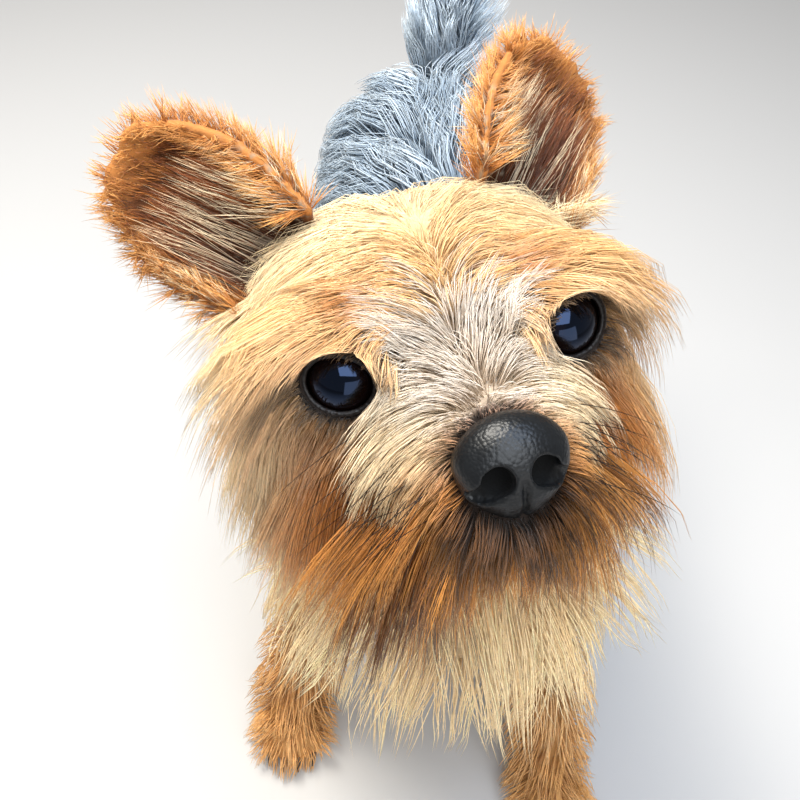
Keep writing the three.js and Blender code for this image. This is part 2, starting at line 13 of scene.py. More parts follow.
import bpy
import numpy as np
from mathutils import Matrix, Vector
from mathutils.kdtree import KDTree


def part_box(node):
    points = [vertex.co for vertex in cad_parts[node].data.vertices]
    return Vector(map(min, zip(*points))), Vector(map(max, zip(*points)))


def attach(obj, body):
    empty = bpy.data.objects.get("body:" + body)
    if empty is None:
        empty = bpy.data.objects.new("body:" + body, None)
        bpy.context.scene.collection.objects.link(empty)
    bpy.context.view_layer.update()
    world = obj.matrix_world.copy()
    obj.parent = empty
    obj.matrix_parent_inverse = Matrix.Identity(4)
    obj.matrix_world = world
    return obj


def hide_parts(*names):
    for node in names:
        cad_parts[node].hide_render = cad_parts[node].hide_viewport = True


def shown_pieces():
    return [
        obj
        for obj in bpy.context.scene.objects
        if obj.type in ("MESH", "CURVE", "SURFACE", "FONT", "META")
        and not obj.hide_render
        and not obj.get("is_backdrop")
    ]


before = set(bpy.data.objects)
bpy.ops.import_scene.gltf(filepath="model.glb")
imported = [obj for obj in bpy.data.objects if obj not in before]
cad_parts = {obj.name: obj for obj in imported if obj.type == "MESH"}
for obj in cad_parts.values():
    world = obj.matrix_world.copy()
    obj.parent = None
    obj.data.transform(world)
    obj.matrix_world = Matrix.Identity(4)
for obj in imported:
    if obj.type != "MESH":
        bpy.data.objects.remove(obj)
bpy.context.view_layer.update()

log = logging.getLogger("terrier")
Array = np.ndarray
MM = 0.001
DOWN = np.array([0.0, 0.0, -1.0])


class Region(IntEnum):
    """Parts of the animal that carry their own kind of coat."""

    SKULL = 0
    MUZZLE = 1
    EAR_LEFT = 2
    EAR_RIGHT = 3
    NECK = 4
    TORSO = 5
    TAIL = 6
    FRONT_LEFT = 7
    FRONT_RIGHT = 8
    HIND_LEFT = 9
    HIND_RIGHT = 10
    PAW = 11


HEAD_REGIONS = (Region.SKULL, Region.MUZZLE)
EAR_REGIONS = (Region.EAR_LEFT, Region.EAR_RIGHT)
TRUNK_REGIONS = (Region.NECK, Region.TORSO)
FRONT_REGIONS = (Region.FRONT_LEFT, Region.FRONT_RIGHT)
HIND_REGIONS = (Region.HIND_LEFT, Region.HIND_RIGHT)
LEG_REGIONS = (*FRONT_REGIONS, *HIND_REGIONS, Region.PAW)


def unit(vectors: Array) -> Array:
    """Vectors scaled to length 1.

    Args:
        vectors: one vector or rows of them.

    Returns:
        The same shape, each of unit length.
    """
    return vectors / np.maximum(np.linalg.norm(vectors, axis=-1, keepdims=True), 1e-9)


def step(values: Array, low: float, high: float) -> Array:
    """A smooth step from 0 at low to 1 at high."""
    t = np.clip((values - low) / (high - low), 0.0, 1.0)
    return t * t * (3.0 - 2.0 * t)


def tangent_to(vectors: Array, normals: Array) -> Array:
    """Unit vectors with the part along the normals taken out."""
    return unit(vectors - (vectors * normals).sum(-1, keepdims=True) * normals)


def srgb(code: str) -> Array:
    """A linear colour from a code such as e8c79a."""
    parts = np.array([int(code[i : i + 2], 16) / 255.0 for i in (0, 2, 4)])
    return np.where(parts <= 0.04045, parts / 12.92, ((parts + 0.055) / 1.055) ** 2.4)


def blend(first: Array, second: Array, share: Array) -> Array:
    """Two colours, or rows of them, mixed by a share for each row."""
    return first + (second - first) * np.clip(share, 0.0, 1.0)[..., None]


@dataclass(frozen=True)
class HeadPose:
    """Where the head is, and how it is turned, lifted and tilted, in degrees."""

    at: tuple[float, float, float] = (-15.0, -67.0, 216.0)
    turn: float = 9.5
    lift: float = -30.7
    tilt: float = -8.9

    def matrix(self) -> Array:
        """The head's axes as columns, in the dog's frame."""
        turns = [
            Matrix.Rotation(math.radians(angle), 3, axis)
            for angle, axis in ((self.turn, "Z"), (self.lift, "X"), (self.tilt, "Y"))
        ]
        return np.array(turns[0] @ turns[1] @ turns[2])

    def out(self, points: Array) -> Array:
        """Points of the head's frame, in the dog's frame."""
        return points @ self.matrix().T + np.array(self.at)

    def into(self, points: Array) -> Array:
        """Points of the dog's frame, in the head's frame."""
        return (points - np.array(self.at)) @ self.matrix()

    def turned(self, vectors: Array) -> Array:
        """Directions of the head's frame, in the dog's frame."""
        return vectors @ self.matrix().T

    def unturned(self, vectors: Array) -> Array:
        """Directions of the dog's frame, in the head's frame."""
        return vectors @ self.matrix()


HEAD = HeadPose()


@dataclass(frozen=True)
class Eye:
    """One eyeball's place in the head, and its opening."""

    side: int
    radius: float = 9.0
    outward: float = 17.0
    half_wide: float = 6.5
    half_high: float = 5.7
    slant: float = 0.6
    apart: float = 19.5
    ahead: float = 18.0
    window_at: float = 8.0

    def centre(self) -> Array:
        """Its centre, in the head's frame."""
        return np.array([self.apart * self.side, -self.ahead, 0.0])

    def axes(self) -> Array:
        """The eye's own axes.

        Returns:
            Columns across, up and out of the eye, in the head's frame.
        """
        angle = math.radians(self.outward * self.side)
        out = np.array([math.sin(angle), -math.cos(angle), 0.0])
        up = np.array([0.0, 0.0, 1.0])
        return np.stack([np.cross(up, out), up, out], axis=1)

    def window(self) -> Array:
        """The middle of its opening, in the head's frame."""
        return self.centre() + self.window_at * self.axes()[:, 2]

    def sight(self) -> Array:
        """The way that the coat keeps open before the eye.

        Returns:
            Columns across, up and along it, in the head's frame.
        """
        out = unit(np.array([0.06 * self.side - 0.14, -1.0, 0.27]))
        across = unit(np.cross([0.0, 0.0, 1.0], out))
        return np.stack([across, np.cross(out, across), out], axis=1)

    def off_gaze(self, points: Array) -> Array:
        """Degrees between the gaze and places round the eye, in the head's frame."""
        off = unit(points - self.centre())
        return np.degrees(np.arccos(np.clip(off @ self.axes()[:, 2], -1.0, 1.0)))


EYES = (Eye(1), Eye(-1))
NOSE_AT = np.array([0.6, -47.6, -12.6])
NOSE_HALF = np.array([9.0, 6.4, 9.0])


def off_nose(q: Array) -> Array:
    """How far places of the head's frame are from the middle of the nose, where 1 is on its leather."""
    return np.linalg.norm((q - NOSE_AT) / NOSE_HALF, axis=1)


def find_shift() -> Array:
    """How far the row frame is from the dog's frame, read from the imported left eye.

    Returns:
        The shift in millimetres.
    """
    low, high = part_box("eye_left")
    middle = (np.array(low) + np.array(high)) / 2.0 / MM
    return middle - HEAD.out(EYES[0].centre()[None])[0]


SHIFT = find_shift()


def row(points: Array) -> Array:
    """Points of the dog's frame in metres, in the row frame."""
    return (points + SHIFT) * MM


def behind_breast(p: Array, start: float, end: float) -> Array:
    """How far places of the dog's frame are behind the slant of its breast: 0 at start and 1 at end."""
    return step(p[:, 1] + 0.35 * (p[:, 2] - 130.0), start, end)


@dataclass(frozen=True)
class EarShape:
    """A cupped ear: its spread and lean in degrees and the sizes of its leather."""

    side: int
    splay: float
    lean: float
    region: Region
    length: float = 42.0
    half_width: float = 16.0
    thickness: float = 2.6
    cup: float = 75.0
    foot: tuple[float, float, float] = (24.0, 10.0, 15.0)

    def axes(self) -> tuple[Array, Array, Array]:
        """The ear's own axes, in the head's frame.

        Returns:
            Unit vectors along the ear, out of its cup and across it.
        """
        splay, lean = math.radians(self.splay), math.radians(self.lean)
        along = np.array(
            [math.sin(splay) * self.side, math.cos(splay) * math.sin(lean), math.cos(splay) * math.cos(lean)]
        )
        front = tangent_to(np.array([0.45 * self.side, -1.0, 0.1]), along)
        return along, front, unit(np.cross(along, front))

    def points(self, t: Array, v: Array, offset: Array | float = 0.0) -> Array:
        """Points of the leather.

        Args:
            t: share of the length from base to tip.
            v: share of the width, from -1 to 1.
            offset: how far behind the middle of the leather, in mm.

        Returns:
            Points in the head's frame.
        """
        along, front, across = self.axes()
        half = self.half_width * (0.8 + 0.9 * t - 0.65 * t * t) * np.sqrt(1.0 - 0.93 * t**3)
        cup = np.radians(self.cup * (1.0 - 0.55 * t))
        radius = half / np.sin(np.minimum(cup, math.pi / 2))
        base = np.array(self.foot) * (self.side, 1.0, 1.0)
        return (
            base
            + along * (t * self.length)[..., None]
            + across * (np.sin(v * cup) * (radius + offset))[..., None]
            + front * (radius - np.cos(v * cup) * (radius + offset) - half * 0.4)[..., None]
        )


EARS = (
    EarShape(side=1, splay=33.0, lean=33.0, region=Region.EAR_LEFT),
    EarShape(side=-1, splay=44.0, lean=22.0, region=Region.EAR_RIGHT),
)


class Forms:
    """The flesh as ellipsoids: they make the skin, and tell the coat where the skin is."""

    def __init__(self) -> None:
        """Starts with no flesh."""
        self.centres: list[Array] = []
        self.axes: list[Array] = []
        self.sizes: list[Array] = []
        self.regions: list[int] = []
        self.places: list[tuple[float, float]] = []
        self.solid: list[bool] = []

    def ball(self, at: Array, sizes: Array, region: Region, axes: Array | None = None,
             place: tuple[float, float] = (0.0, 0.0), solid: bool = True) -> None:
        """Adds one ellipsoid.

        Args:
            at: its centre in the dog's frame.
            sizes: its three half sizes.
            region: what it belongs to.
            axes: its axes as columns.
            place: where it stands along and across its part.
            solid: whether the skin is grown from it, or from another shape at its place.
        """
        self.centres.append(np.asarray(at, float))
        self.sizes.append(np.asarray(sizes, float))
        self.axes.append(np.eye(3) if axes is None else axes)
        self.regions.append(int(region))
        self.places.append(place)
        self.solid.append(solid)

    def run(self, stations: Array, region: Region, count: int, pose: HeadPose | None = None) -> None:
        """Adds a run of ellipsoids along stations.

        Args:
            stations: rows of x, y, z, half width and half height.
            region: what the run belongs to.
            count: how many ellipsoids.
            pose: the head's pose where the stations are in the head's frame.
        """
        for t in np.linspace(0.0, 1.0, count):
            here = catmull(stations, t)
            ahead = catmull(stations, min(t + 0.01, 1.0)) - catmull(stations, max(t - 0.01, 0.0))
            along = unit(ahead[:3])
            up = unit(np.cross([1.0, 0.0, 0.0], along))
            axes = np.stack([unit(np.cross(along, up)), up, along], axis=1)
            at, flat = here[:3], min(here[3], here[4])
            if pose is not None:
                at, axes = pose.out(at[None])[0], pose.matrix() @ axes
            self.ball(at, np.array([here[3], here[4], flat * 0.7]), region, axes, (t, 0.0))

    def pack(self) -> None:
        """Turns the lists into arrays, once all the flesh is in."""
        self.c, self.a, self.s = np.array(self.centres), np.array(self.axes), np.array(self.sizes)
        self.r, self.p = np.array(self.regions), np.array(self.places)
        self.scaled = self.a / self.s[:, None, :]
        self.sloped = self.a / self.s[:, None, :] ** 2

    def nearest(self, points: Array) -> tuple[Array, Array, Array]:
        """Distance to the flesh.

        Args:
            points: rows of points in the dog's frame.

        Returns:
            Signed distances, outward normals, and the nearest ellipsoid's index.
        """
        cell, margin = 20.0, 14.0
        keys = (np.floor(points / cell).astype(np.int64) + 500) @ np.array([1, 1000, 1000000])
        order = np.argsort(keys, kind="stable")
        far, out, which = np.empty(len(points)), np.empty(points.shape), np.empty(len(points), dtype=np.int64)
        reach = self.s.max(1)
        for rows in np.split(order, np.flatnonzero(np.diff(keys[order])) + 1):
            some = points[rows]
            off = np.maximum(np.maximum(some.min(0) - self.c, self.c - some.max(0)), 0.0)
            gap = np.linalg.norm(off, axis=1) - reach
            among = np.flatnonzero(gap < max(gap.min(), 0.0) + margin)
            local = self.measure(some, self.c[among], self.scaled[among])
            slope = self.measure(some, self.c[among], self.sloped[among])
            k0 = np.sqrt(np.einsum("nmi,nmi->nm", local, local))
            k1 = np.maximum(np.sqrt(np.einsum("nmi,nmi->nm", slope, slope)), 1e-6)
            depth = k0 * (k0 - 1.0) / k1
            best = depth.argmin(1)
            each = np.arange(len(some))
            far[rows], which[rows] = depth[each, best], among[best]
            out[rows] = unit(np.einsum("nj,nij->ni", slope[each, best], self.a[among[best]]))
        return far, out, which

    def measure(self, points: Array, centres: Array, axes: Array) -> Array:
        """Every point's place along each ellipsoid's axes.

        Args:
            points: rows of points.
            centres: the ellipsoids' centres.
            axes: their axes as columns, scaled by their sizes.

        Returns:
            For each point and each ellipsoid, three numbers.
        """
        flat = axes.transpose(1, 0, 2).reshape(3, -1)
        shift = np.einsum("mi,mij->mj", centres, axes)
        return (points @ flat).reshape(len(points), len(axes), 3) - shift


def catmull(stations: Array, t: float) -> Array:
    """A smooth curve through rows of numbers.

    Args:
        stations: the rows.
        t: how far along the curve, from 0 to 1.

    Returns:
        The numbers there.
    """
    rows = np.asarray(stations, float)
    at = t * (len(rows) - 1)
    i = min(int(at), len(rows) - 2)
    u = at - i
    p1, p2 = rows[i], rows[i + 1]
    p0 = rows[i - 1] if i > 0 else 2 * p1 - p2
    p3 = rows[i + 2] if i + 2 < len(rows) else 2 * p2 - p1
    square, cube = 2 * p0 - 5 * p1 + 4 * p2 - p3, 3 * p1 - p0 - 3 * p2 + p3
    return 0.5 * (2 * p1 + (p2 - p0) * u + square * u**2 + cube * u**3)


@dataclass
class Flesh:
    """The sizes of the body under the coat, as the solids have them."""

    skull: tuple = (
        ((0, 8, 0), (30, 32, 24)),
        ((17, 2, -12), (15, 23, 16)),
        ((-17, 2, -12), (15, 23, 16)),
        ((16, -11, 0), (15, 13.5, 14)),
        ((-16, -11, 0), (15, 13.5, 14)),
    )
    muzzle: tuple = (
        (0, -4, -8, 19, 15), (0, -20, -10.5, 16, 13.5), (0, -29, -12.5, 13.5, 12.5),
        (0, -37, -14.5, 11.5, 11), (0, -42, -17, 9.5, 8.5), (0, -46, -19, 7, 5.5),
    )
    lip: tuple = (
        (-15, -17, -20.5), (-13, -30, -22.5), (-9, -42, -22.5), (0, -48, -22),
        (9, -42, -22.5), (13, -30, -22.5), (15, -17, -20.5),
    )
    torso: tuple = (
        (0, -82, 128, 12, 14), (0, -73, 128, 26, 30), (0, -52, 130, 36, 41), (0, -20, 133, 37, 40),
        (0, 10, 137, 36, 37), (0, 40, 142, 34, 34), (0, 68, 145, 34, 34), (0, 88, 147, 29, 30),
        (0, 96, 148, 17, 19),
    )
    neck: tuple = (
        (0, -36, 142, 26, 27), (-5, -44, 165, 24, 25), (-13, -50, 188, 22, 23), (-16, -56, 208, 19, 19),
    )
    tail: tuple = ((0, 82, 156, 9, 9), (0, 92, 172, 8, 8), (2, 97, 190, 6.5, 6.5), (4, 97, 206, 4, 4))
    front_left: tuple = (
        (23, -46, 130, 13, 22), (31, -44, 104, 12, 15), (36, -56, 76, 9, 10),
        (42, -67, 44, 8, 8.5), (46, -74, 22, 8.5, 9), (47, -77, 9, 9, 10),
    )
    front_right: tuple = (
        (-23, -46, 130, 13, 22), (-31, -40, 104, 12, 15), (-36, -42, 76, 9, 10),
        (-40, -46, 44, 8, 8.5), (-43, -51, 22, 8.5, 9), (-45, -53, 9, 9, 10),
    )
    hind: tuple = (
        (21, 66, 134, 15, 28), (29, 58, 106, 14, 21), (32, 62, 80, 10, 13),
        (33, 79, 52, 8, 8.5), (34, 83, 28, 8, 8.5), (35, 79, 9, 9, 10),
    )
    paw: tuple = (12.0, 16.0, 10.0)
    paw_forward: float = 7.0
    toe_ranks: tuple = (-1.5, -0.5, 0.5, 1.5)
    toe_gap: float = 5.2
    toe_curve: float = 2.2
    lid: float = 1.8

    def legs(self) -> tuple:
        """The stations of the four legs, in the order of their regions."""
        return self.front_left, self.front_right, self.hind, [(-x, *rest) for x, *rest in self.hind]

    def toes(self, stations: tuple, ahead: float, height: float) -> list[tuple[float, float, float]]:
        """One place for each toe of a leg's paw.

        Args:
            stations: the leg's stations.
            ahead: how far the middle toes' places are ahead of the paw's middle.
            height: their height.

        Returns:
            Places in the dog's frame.
        """
        x, y = stations[-1][:2]
        return [
            (x + toe * self.toe_gap, y - self.paw_forward - ahead + abs(toe) * self.toe_curve, height)
            for toe in self.toe_ranks
        ]

    def forms(self) -> Forms:
        """Lays down all the flesh.

        Returns:
            The flesh as ellipsoids.
        """
        made = Forms()
        for at, sizes in self.skull:
            made.ball(HEAD.out(np.array([at], float))[0], sizes, Region.SKULL, HEAD.matrix())
        for eye in EYES:
            made.ball(HEAD.out(eye.centre()[None])[0], np.full(3, eye.radius + self.lid), Region.SKULL)
        made.run(self.muzzle, Region.MUZZLE, 12, HEAD)
        for rise, size in ((1.7, 2.0), (-1.7, 1.8)):
            lips = [(x, y, z + rise, size, size) for x, y, z in self.lip]
            made.run(lips, Region.MUZZLE, 26, HEAD)
        made.run(self.torso, Region.TORSO, 34)
        made.run(self.neck, Region.NECK, 14)
        made.run(self.tail, Region.TAIL, 16)
        wide, long, high = self.paw
        for stations, region in zip(self.legs(), LEG_REGIONS):
            made.run(stations, region, 24)
            x, y = stations[-1][:2]
            at = (x, y - self.paw_forward, high * 0.6 + 0.8)
            made.ball(at, (wide - 1.5, long - 2, high - 1.5), Region.PAW)
            for toe in self.toes(stations, 11.5, 4.6):
                made.ball(toe, (3.4, 6.5, 4.2), Region.PAW)
        for ear in EARS:
            for t in np.linspace(0.02, 0.97, 12):
                for v in np.linspace(-1.0, 1.0, 11):
                    at = HEAD.out(ear.points(np.array([t]), np.array([v])))[0]
                    made.ball(at, (1.5, 1.5, 1.5), ear.region, None, (t, v), solid=False)
        made.pack()
        return made


def deselect() -> None:
    """Leaves object mode with nothing selected."""
    if bpy.context.object is not None and bpy.context.object.mode != "OBJECT":
        bpy.ops.object.mode_set(mode="OBJECT")
    bpy.ops.object.select_all(action="DESELECT")


def active(name: str) -> bpy.types.Object:
    """Names the active object and its mesh.

    Args:
        name: the name.

    Returns:
        The object.
    """
    made = bpy.context.object
    made.name = name
    made.data.name = name
    return made


def select(*pieces: bpy.types.Object) -> None:
    """Selects these pieces alone and makes the first active.

    Args:
        pieces: the pieces.
    """
    deselect()
    for piece in pieces:
        piece.select_set(True)
    bpy.context.view_layer.objects.active = pieces[0]


def apply_modifier(piece: bpy.types.Object, kind: str, **settings: object) -> None:
    """Adds a modifier with its settings and applies it.

    Args:
        piece: the object.
        kind: the modifier's type.
        settings: its properties.
    """
    select(piece)
    bpy.ops.object.modifier_add(type=kind)
    modifier = piece.modifiers[-1]
    for key, value in settings.items():
        setattr(modifier, key, value)
    bpy.ops.object.modifier_apply(modifier=modifier.name)


def settle(piece: bpy.types.Object) -> None:
    """Puts a piece's place into its mesh."""
    select(piece)
    bpy.ops.object.transform_apply(location=True, rotation=True, scale=True)


def coordinates(piece: bpy.types.Object) -> Array:
    """Reads a piece's vertices.

    Args:
        piece: the piece.

    Returns:
        Rows of points, in metres.
    """
    found = np.empty(len(piece.data.vertices) * 3)
    piece.data.vertices.foreach_get("co", found)
    return found.reshape(-1, 3)


def place(piece: bpy.types.Object, points: Array) -> None:
    """Sets a piece's vertices, in metres."""
    piece.data.vertices.foreach_set("co", np.ascontiguousarray(points, dtype=np.float32).ravel())
    piece.data.update()


def shape_of(piece: bpy.types.Object) -> Array:
    """A piece's vertices in millimetres, in the dog's frame."""
    return coordinates(piece) / MM - SHIFT


def smooth(piece: bpy.types.Object) -> None:
    """Shades a piece smoothly."""
    select(piece)
    bpy.ops.object.shade_smooth()


def face_outward() -> None:
    """Turns all faces of the active piece outward."""
    bpy.ops.object.mode_set(mode="EDIT")
    bpy.ops.mesh.select_all(action="SELECT")
    bpy.ops.mesh.normals_make_consistent(inside=False)
    bpy.ops.object.mode_set(mode="OBJECT")


def cut(piece: bpy.types.Object, cutter: bpy.types.Object) -> None:
    """Takes a cutter's form out of a piece, and then deletes the cutter."""
    apply_modifier(piece, "BOOLEAN", operation="DIFFERENCE", object=cutter, solver="EXACT")
    bpy.data.objects.remove(cutter)


def register(piece: bpy.types.Object, slot: str, *nodes: str) -> None:
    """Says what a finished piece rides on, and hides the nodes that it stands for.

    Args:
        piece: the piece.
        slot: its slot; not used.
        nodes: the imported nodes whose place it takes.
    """
    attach(piece, "root")
    if nodes:
        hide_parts(*nodes)
    log.info("%s: %d faces", piece.name, len(piece.data.polygons))


# Finishes


class Wiring:
    """One material's nodes, set and joined by name."""

    def __init__(self, name: str, roughness: float) -> None:
        """Starts a material with its shader and the object's coordinates.

        Args:
            name: the material's name.
            roughness: its shader's roughness.
        """
        self.material = bpy.data.materials.new(name)
        self.material.use_nodes = True
        self.tree = self.material.node_tree
        self.shader = self.tree.nodes["Principled BSDF"]
        self.where = self.tree.nodes.new("ShaderNodeTexCoord")
        self.put(self.shader, {"Roughness": roughness})

    def put(self, node: bpy.types.Node, values: dict[str | int, object]) -> None:
        """Sets a node's inputs, by name or by number."""
        for key, value in values.items():
            node.inputs[key].default_value = value

    def join(self, source: bpy.types.NodeSocket, node: bpy.types.Node, key: str | int) -> None:
        """Joins an output to a node's input."""
        self.tree.links.new(source, node.inputs[key])

    def carried(self, name: str) -> bpy.types.Node:
        """Reads what the mesh carries under a name.

        Args:
            name: the attribute's name.

        Returns:
            The node that reads it.
        """
        node = self.tree.nodes.new("ShaderNodeAttribute")
        node.attribute_name = name
        return node

    def pattern(self, kind: str, scale: float) -> bpy.types.Node:
        """A pattern that is fixed to the object.

        Args:
            kind: the pattern's type of node.
            scale: how fine it is.

        Returns:
            Its node.
        """
        node = self.tree.nodes.new(kind)
        self.put(node, {"Scale": scale})
        self.join(self.where.outputs["Object"], node, "Vector")
        return node

    def shades(self, value: bpy.types.NodeSocket, stops: tuple) -> bpy.types.NodeSocket:
        """Turns a value into colours.

        Args:
            value: what picks the colour.
            stops: places and colour codes, the first at 0 and the last at 1.

        Returns:
            The colour.
        """
        node = self.tree.nodes.new("ShaderNodeValToRGB")
        elements = node.color_ramp.elements
        elements[0].color = (*srgb(stops[0][1]), 1.0)
        elements[1].color = (*srgb(stops[-1][1]), 1.0)
        for spot, code in stops[1:-1]:
            elements.new(spot).color = (*srgb(code), 1.0)
        self.join(value, node, "Fac")
        return node.outputs["Color"]

    def mixer(self, first: bpy.types.NodeSocket, kind: str) -> bpy.types.Node:
        """A node that mixes a colour with another.

        Args:
            first: the first colour.
            kind: how they mix.

        Returns:
            The node, whose second colour and factor are still to be set.
        """
        node = self.tree.nodes.new("ShaderNodeMix")
        node.data_type = "RGBA"
        node.blend_type = kind
        self.join(first, node, MIX_FIRST)
        return node

    def raised(self, height: bpy.types.NodeSocket, strength: float, depth: float,
               inward: bool = False) -> None:
        """Raises or presses in the surface by a pattern.

        Args:
            height: the pattern.
            strength: how strongly.
            depth: how far, in metres.
            inward: whether it is pressed in.
        """
        node = self.tree.nodes.new("ShaderNodeBump")
        self.put(node, {"Strength": strength, "Distance": depth})
        node.invert = inward
        self.join(height, node, "Height")
        self.join(node.outputs["Normal"], self.shader, "Normal")


# The colour sockets of a mixing node share their names with others, so they are found by number
MIX_FIRST, MIX_SECOND, MIX_RESULT = 6, 7, 2


@dataclass(frozen=True)
class Finish:
    """A material that is built from nodes."""

    name: str
    roughness: float = 0.5


@dataclass(frozen=True)
class Hair(Finish):
    """Hair or skin whose colour is carried by the mesh, with fine variation along and between strands."""

    name: str = "terrier_hair"
    roughness: float = 0.42
    grain: float = 900.0
    contrast: float = 0.16
    sheen: float = 0.08
    bump: float = 0.0
    bump_depth: float = 0.0006

    def build(self) -> bpy.types.Material:
        """Makes the material.

        Returns:
            The material.
        """
        wiring = Wiring(self.name, self.roughness)
        noise = wiring.pattern("ShaderNodeTexNoise", self.grain)
        wiring.put(noise, {"Detail": 3.0})
        stretch = wiring.tree.nodes.new("ShaderNodeMapRange")
        wiring.put(stretch, {"From Min": 0.3, "From Max": 0.7})
        wiring.put(stretch, {"To Min": 1.0 - self.contrast, "To Max": 1.0 + self.contrast})
        wiring.join(noise.outputs["Fac"], stretch, "Value")
        tint = wiring.tree.nodes.new("ShaderNodeVectorMath")
        tint.operation = "SCALE"
        wiring.join(wiring.carried("Mark").outputs["Color"], tint, "Vector")
        wiring.join(stretch.outputs["Result"], tint, "Scale")
        wiring.join(tint.outputs["Vector"], wiring.shader, "Base Color")
        gloss = {"Sheen Weight": self.sheen, "Sheen Roughness": 0.4, "Specular IOR Level": 0.3}
        wiring.put(wiring.shader, gloss)
        if self.bump:
            wiring.raised(noise.outputs["Fac"], self.bump, self.bump_depth)
        return wiring.material


@dataclass(frozen=True)
class NoseLeather(Finish):
    """Black pebbled leather with a moist shine, and painted shade in its nostrils and groove."""

    name: str = "nose_leather"
    roughness: float = 0.34
    pebbles: float = 1500.0
    clouds: float = 260.0
    blacks: tuple = ((0.0, "060607"), (1.0, "17191b"))
    # Painted shade: the nostrils and the groove are painted this near-black and made matt
    inside: tuple = (0.0005, 0.0005, 0.0005, 1.0)
    inside_matt: float = 0.6

    def build(self) -> bpy.types.Material:
        """Makes the material.

        Returns:
            The material.
        """
        wiring = Wiring(self.name, self.roughness)
        cells = wiring.pattern("ShaderNodeTexVoronoi", self.pebbles)
        cloud = wiring.pattern("ShaderNodeTexNoise", self.clouds)
        # Painted shade: deep in the nostrils and the groove, as the mesh marks them, the colour turns
        # near-black and the surface matt
        hollow = wiring.carried("HollowShade").outputs["Fac"]
        deep = wiring.mixer(wiring.shades(cloud.outputs["Fac"], self.blacks), "MIX")
        wiring.join(hollow, deep, "Factor")
        wiring.put(deep, {MIX_SECOND: self.inside})
        wiring.join(deep.outputs[MIX_RESULT], wiring.shader, "Base Color")
        matt = wiring.tree.nodes.new("ShaderNodeMath")
        matt.operation = "MULTIPLY_ADD"
        wiring.put(matt, {1: self.inside_matt, 2: self.roughness})
        wiring.join(hollow, matt, 0)
        wiring.join(matt.outputs["Value"], wiring.shader, "Roughness")
        wiring.raised(cells.outputs["Distance"], 0.4, 0.00022, inward=True)
        wiring.put(wiring.shader, {"Specular IOR Level": 0.28})
        return wiring.material


@dataclass(frozen=True)
class EyeGlass(Finish):
    """A dark brown iris round a black pupil, under a wet surface with a painted blue sky reflection. The mesh
    carries the angle off the gaze.
    """

    name: str = "terrier_eye"
    roughness: float = 0.06
    rings: tuple = (
        (0.0, "020202"), (0.30, "030202"), (0.36, "0b0503"),
        (0.52, "120805"), (0.66, "070403"), (1.0, "050404"),
    )

    def build(self) -> bpy.types.Material:
        """Makes the material.

        Returns:
            The material.
        """
        wiring = Wiring(self.name, self.roughness)
        fibre = wiring.pattern("ShaderNodeTexNoise", 900.0)
        iris = wiring.mixer(wiring.shades(wiring.carried("Gaze").outputs["Fac"], self.rings), "MULTIPLY")
        wiring.put(iris, {"Factor": 0.35})
        wiring.join(fibre.outputs["Color"], iris, MIX_SECOND)
        wiring.join(iris.outputs[MIX_RESULT], wiring.shader, "Base Color")
        # Painted reflection: the specular is tinted blue, so that the eye's reflections look like sky
        wiring.put(wiring.shader, {"Specular IOR Level": 0.55, "Specular Tint": (0.25, 0.45, 1.0, 1.0)})
        wiring.put(wiring.shader, {"Coat Weight": 0.12, "Coat Roughness": 0.02})
        return wiring.material


@dataclass(frozen=True)
class Horn(Finish):
    """Dark translucent-looking claw horn with faint growth lines."""

    name: str = "claw_horn"
    roughness: float = 0.3
    browns: tuple = ((0.0, "15100d"), (1.0, "4a3a2e"))

    def build(self) -> bpy.types.Material:
        """Makes the material.

        Returns:
            The material.
        """
        wiring = Wiring(self.name, self.roughness)
        lines = wiring.pattern("ShaderNodeTexNoise", 700.0)
        wiring.join(wiring.shades(lines.outputs["Fac"], self.browns), wiring.shader, "Base Color")
        return wiring.material


# Markings


def patch(q: Array, middle: tuple[float, float, float], sizes: tuple[float, float, float]) -> Array:
    """A soft patch on each side of the head.

    Args:
        q: places in the head's frame.
        middle: its middle on the left side.
        sizes: how far it reaches along each axis.

    Returns:
        1 at its middle and less away from it.
    """
    x, y, z = ((np.column_stack([np.abs(q[:, 0]), q[:, 1:]]) - middle) / sizes).T ** 2
    return np.exp(-(x + y + z))


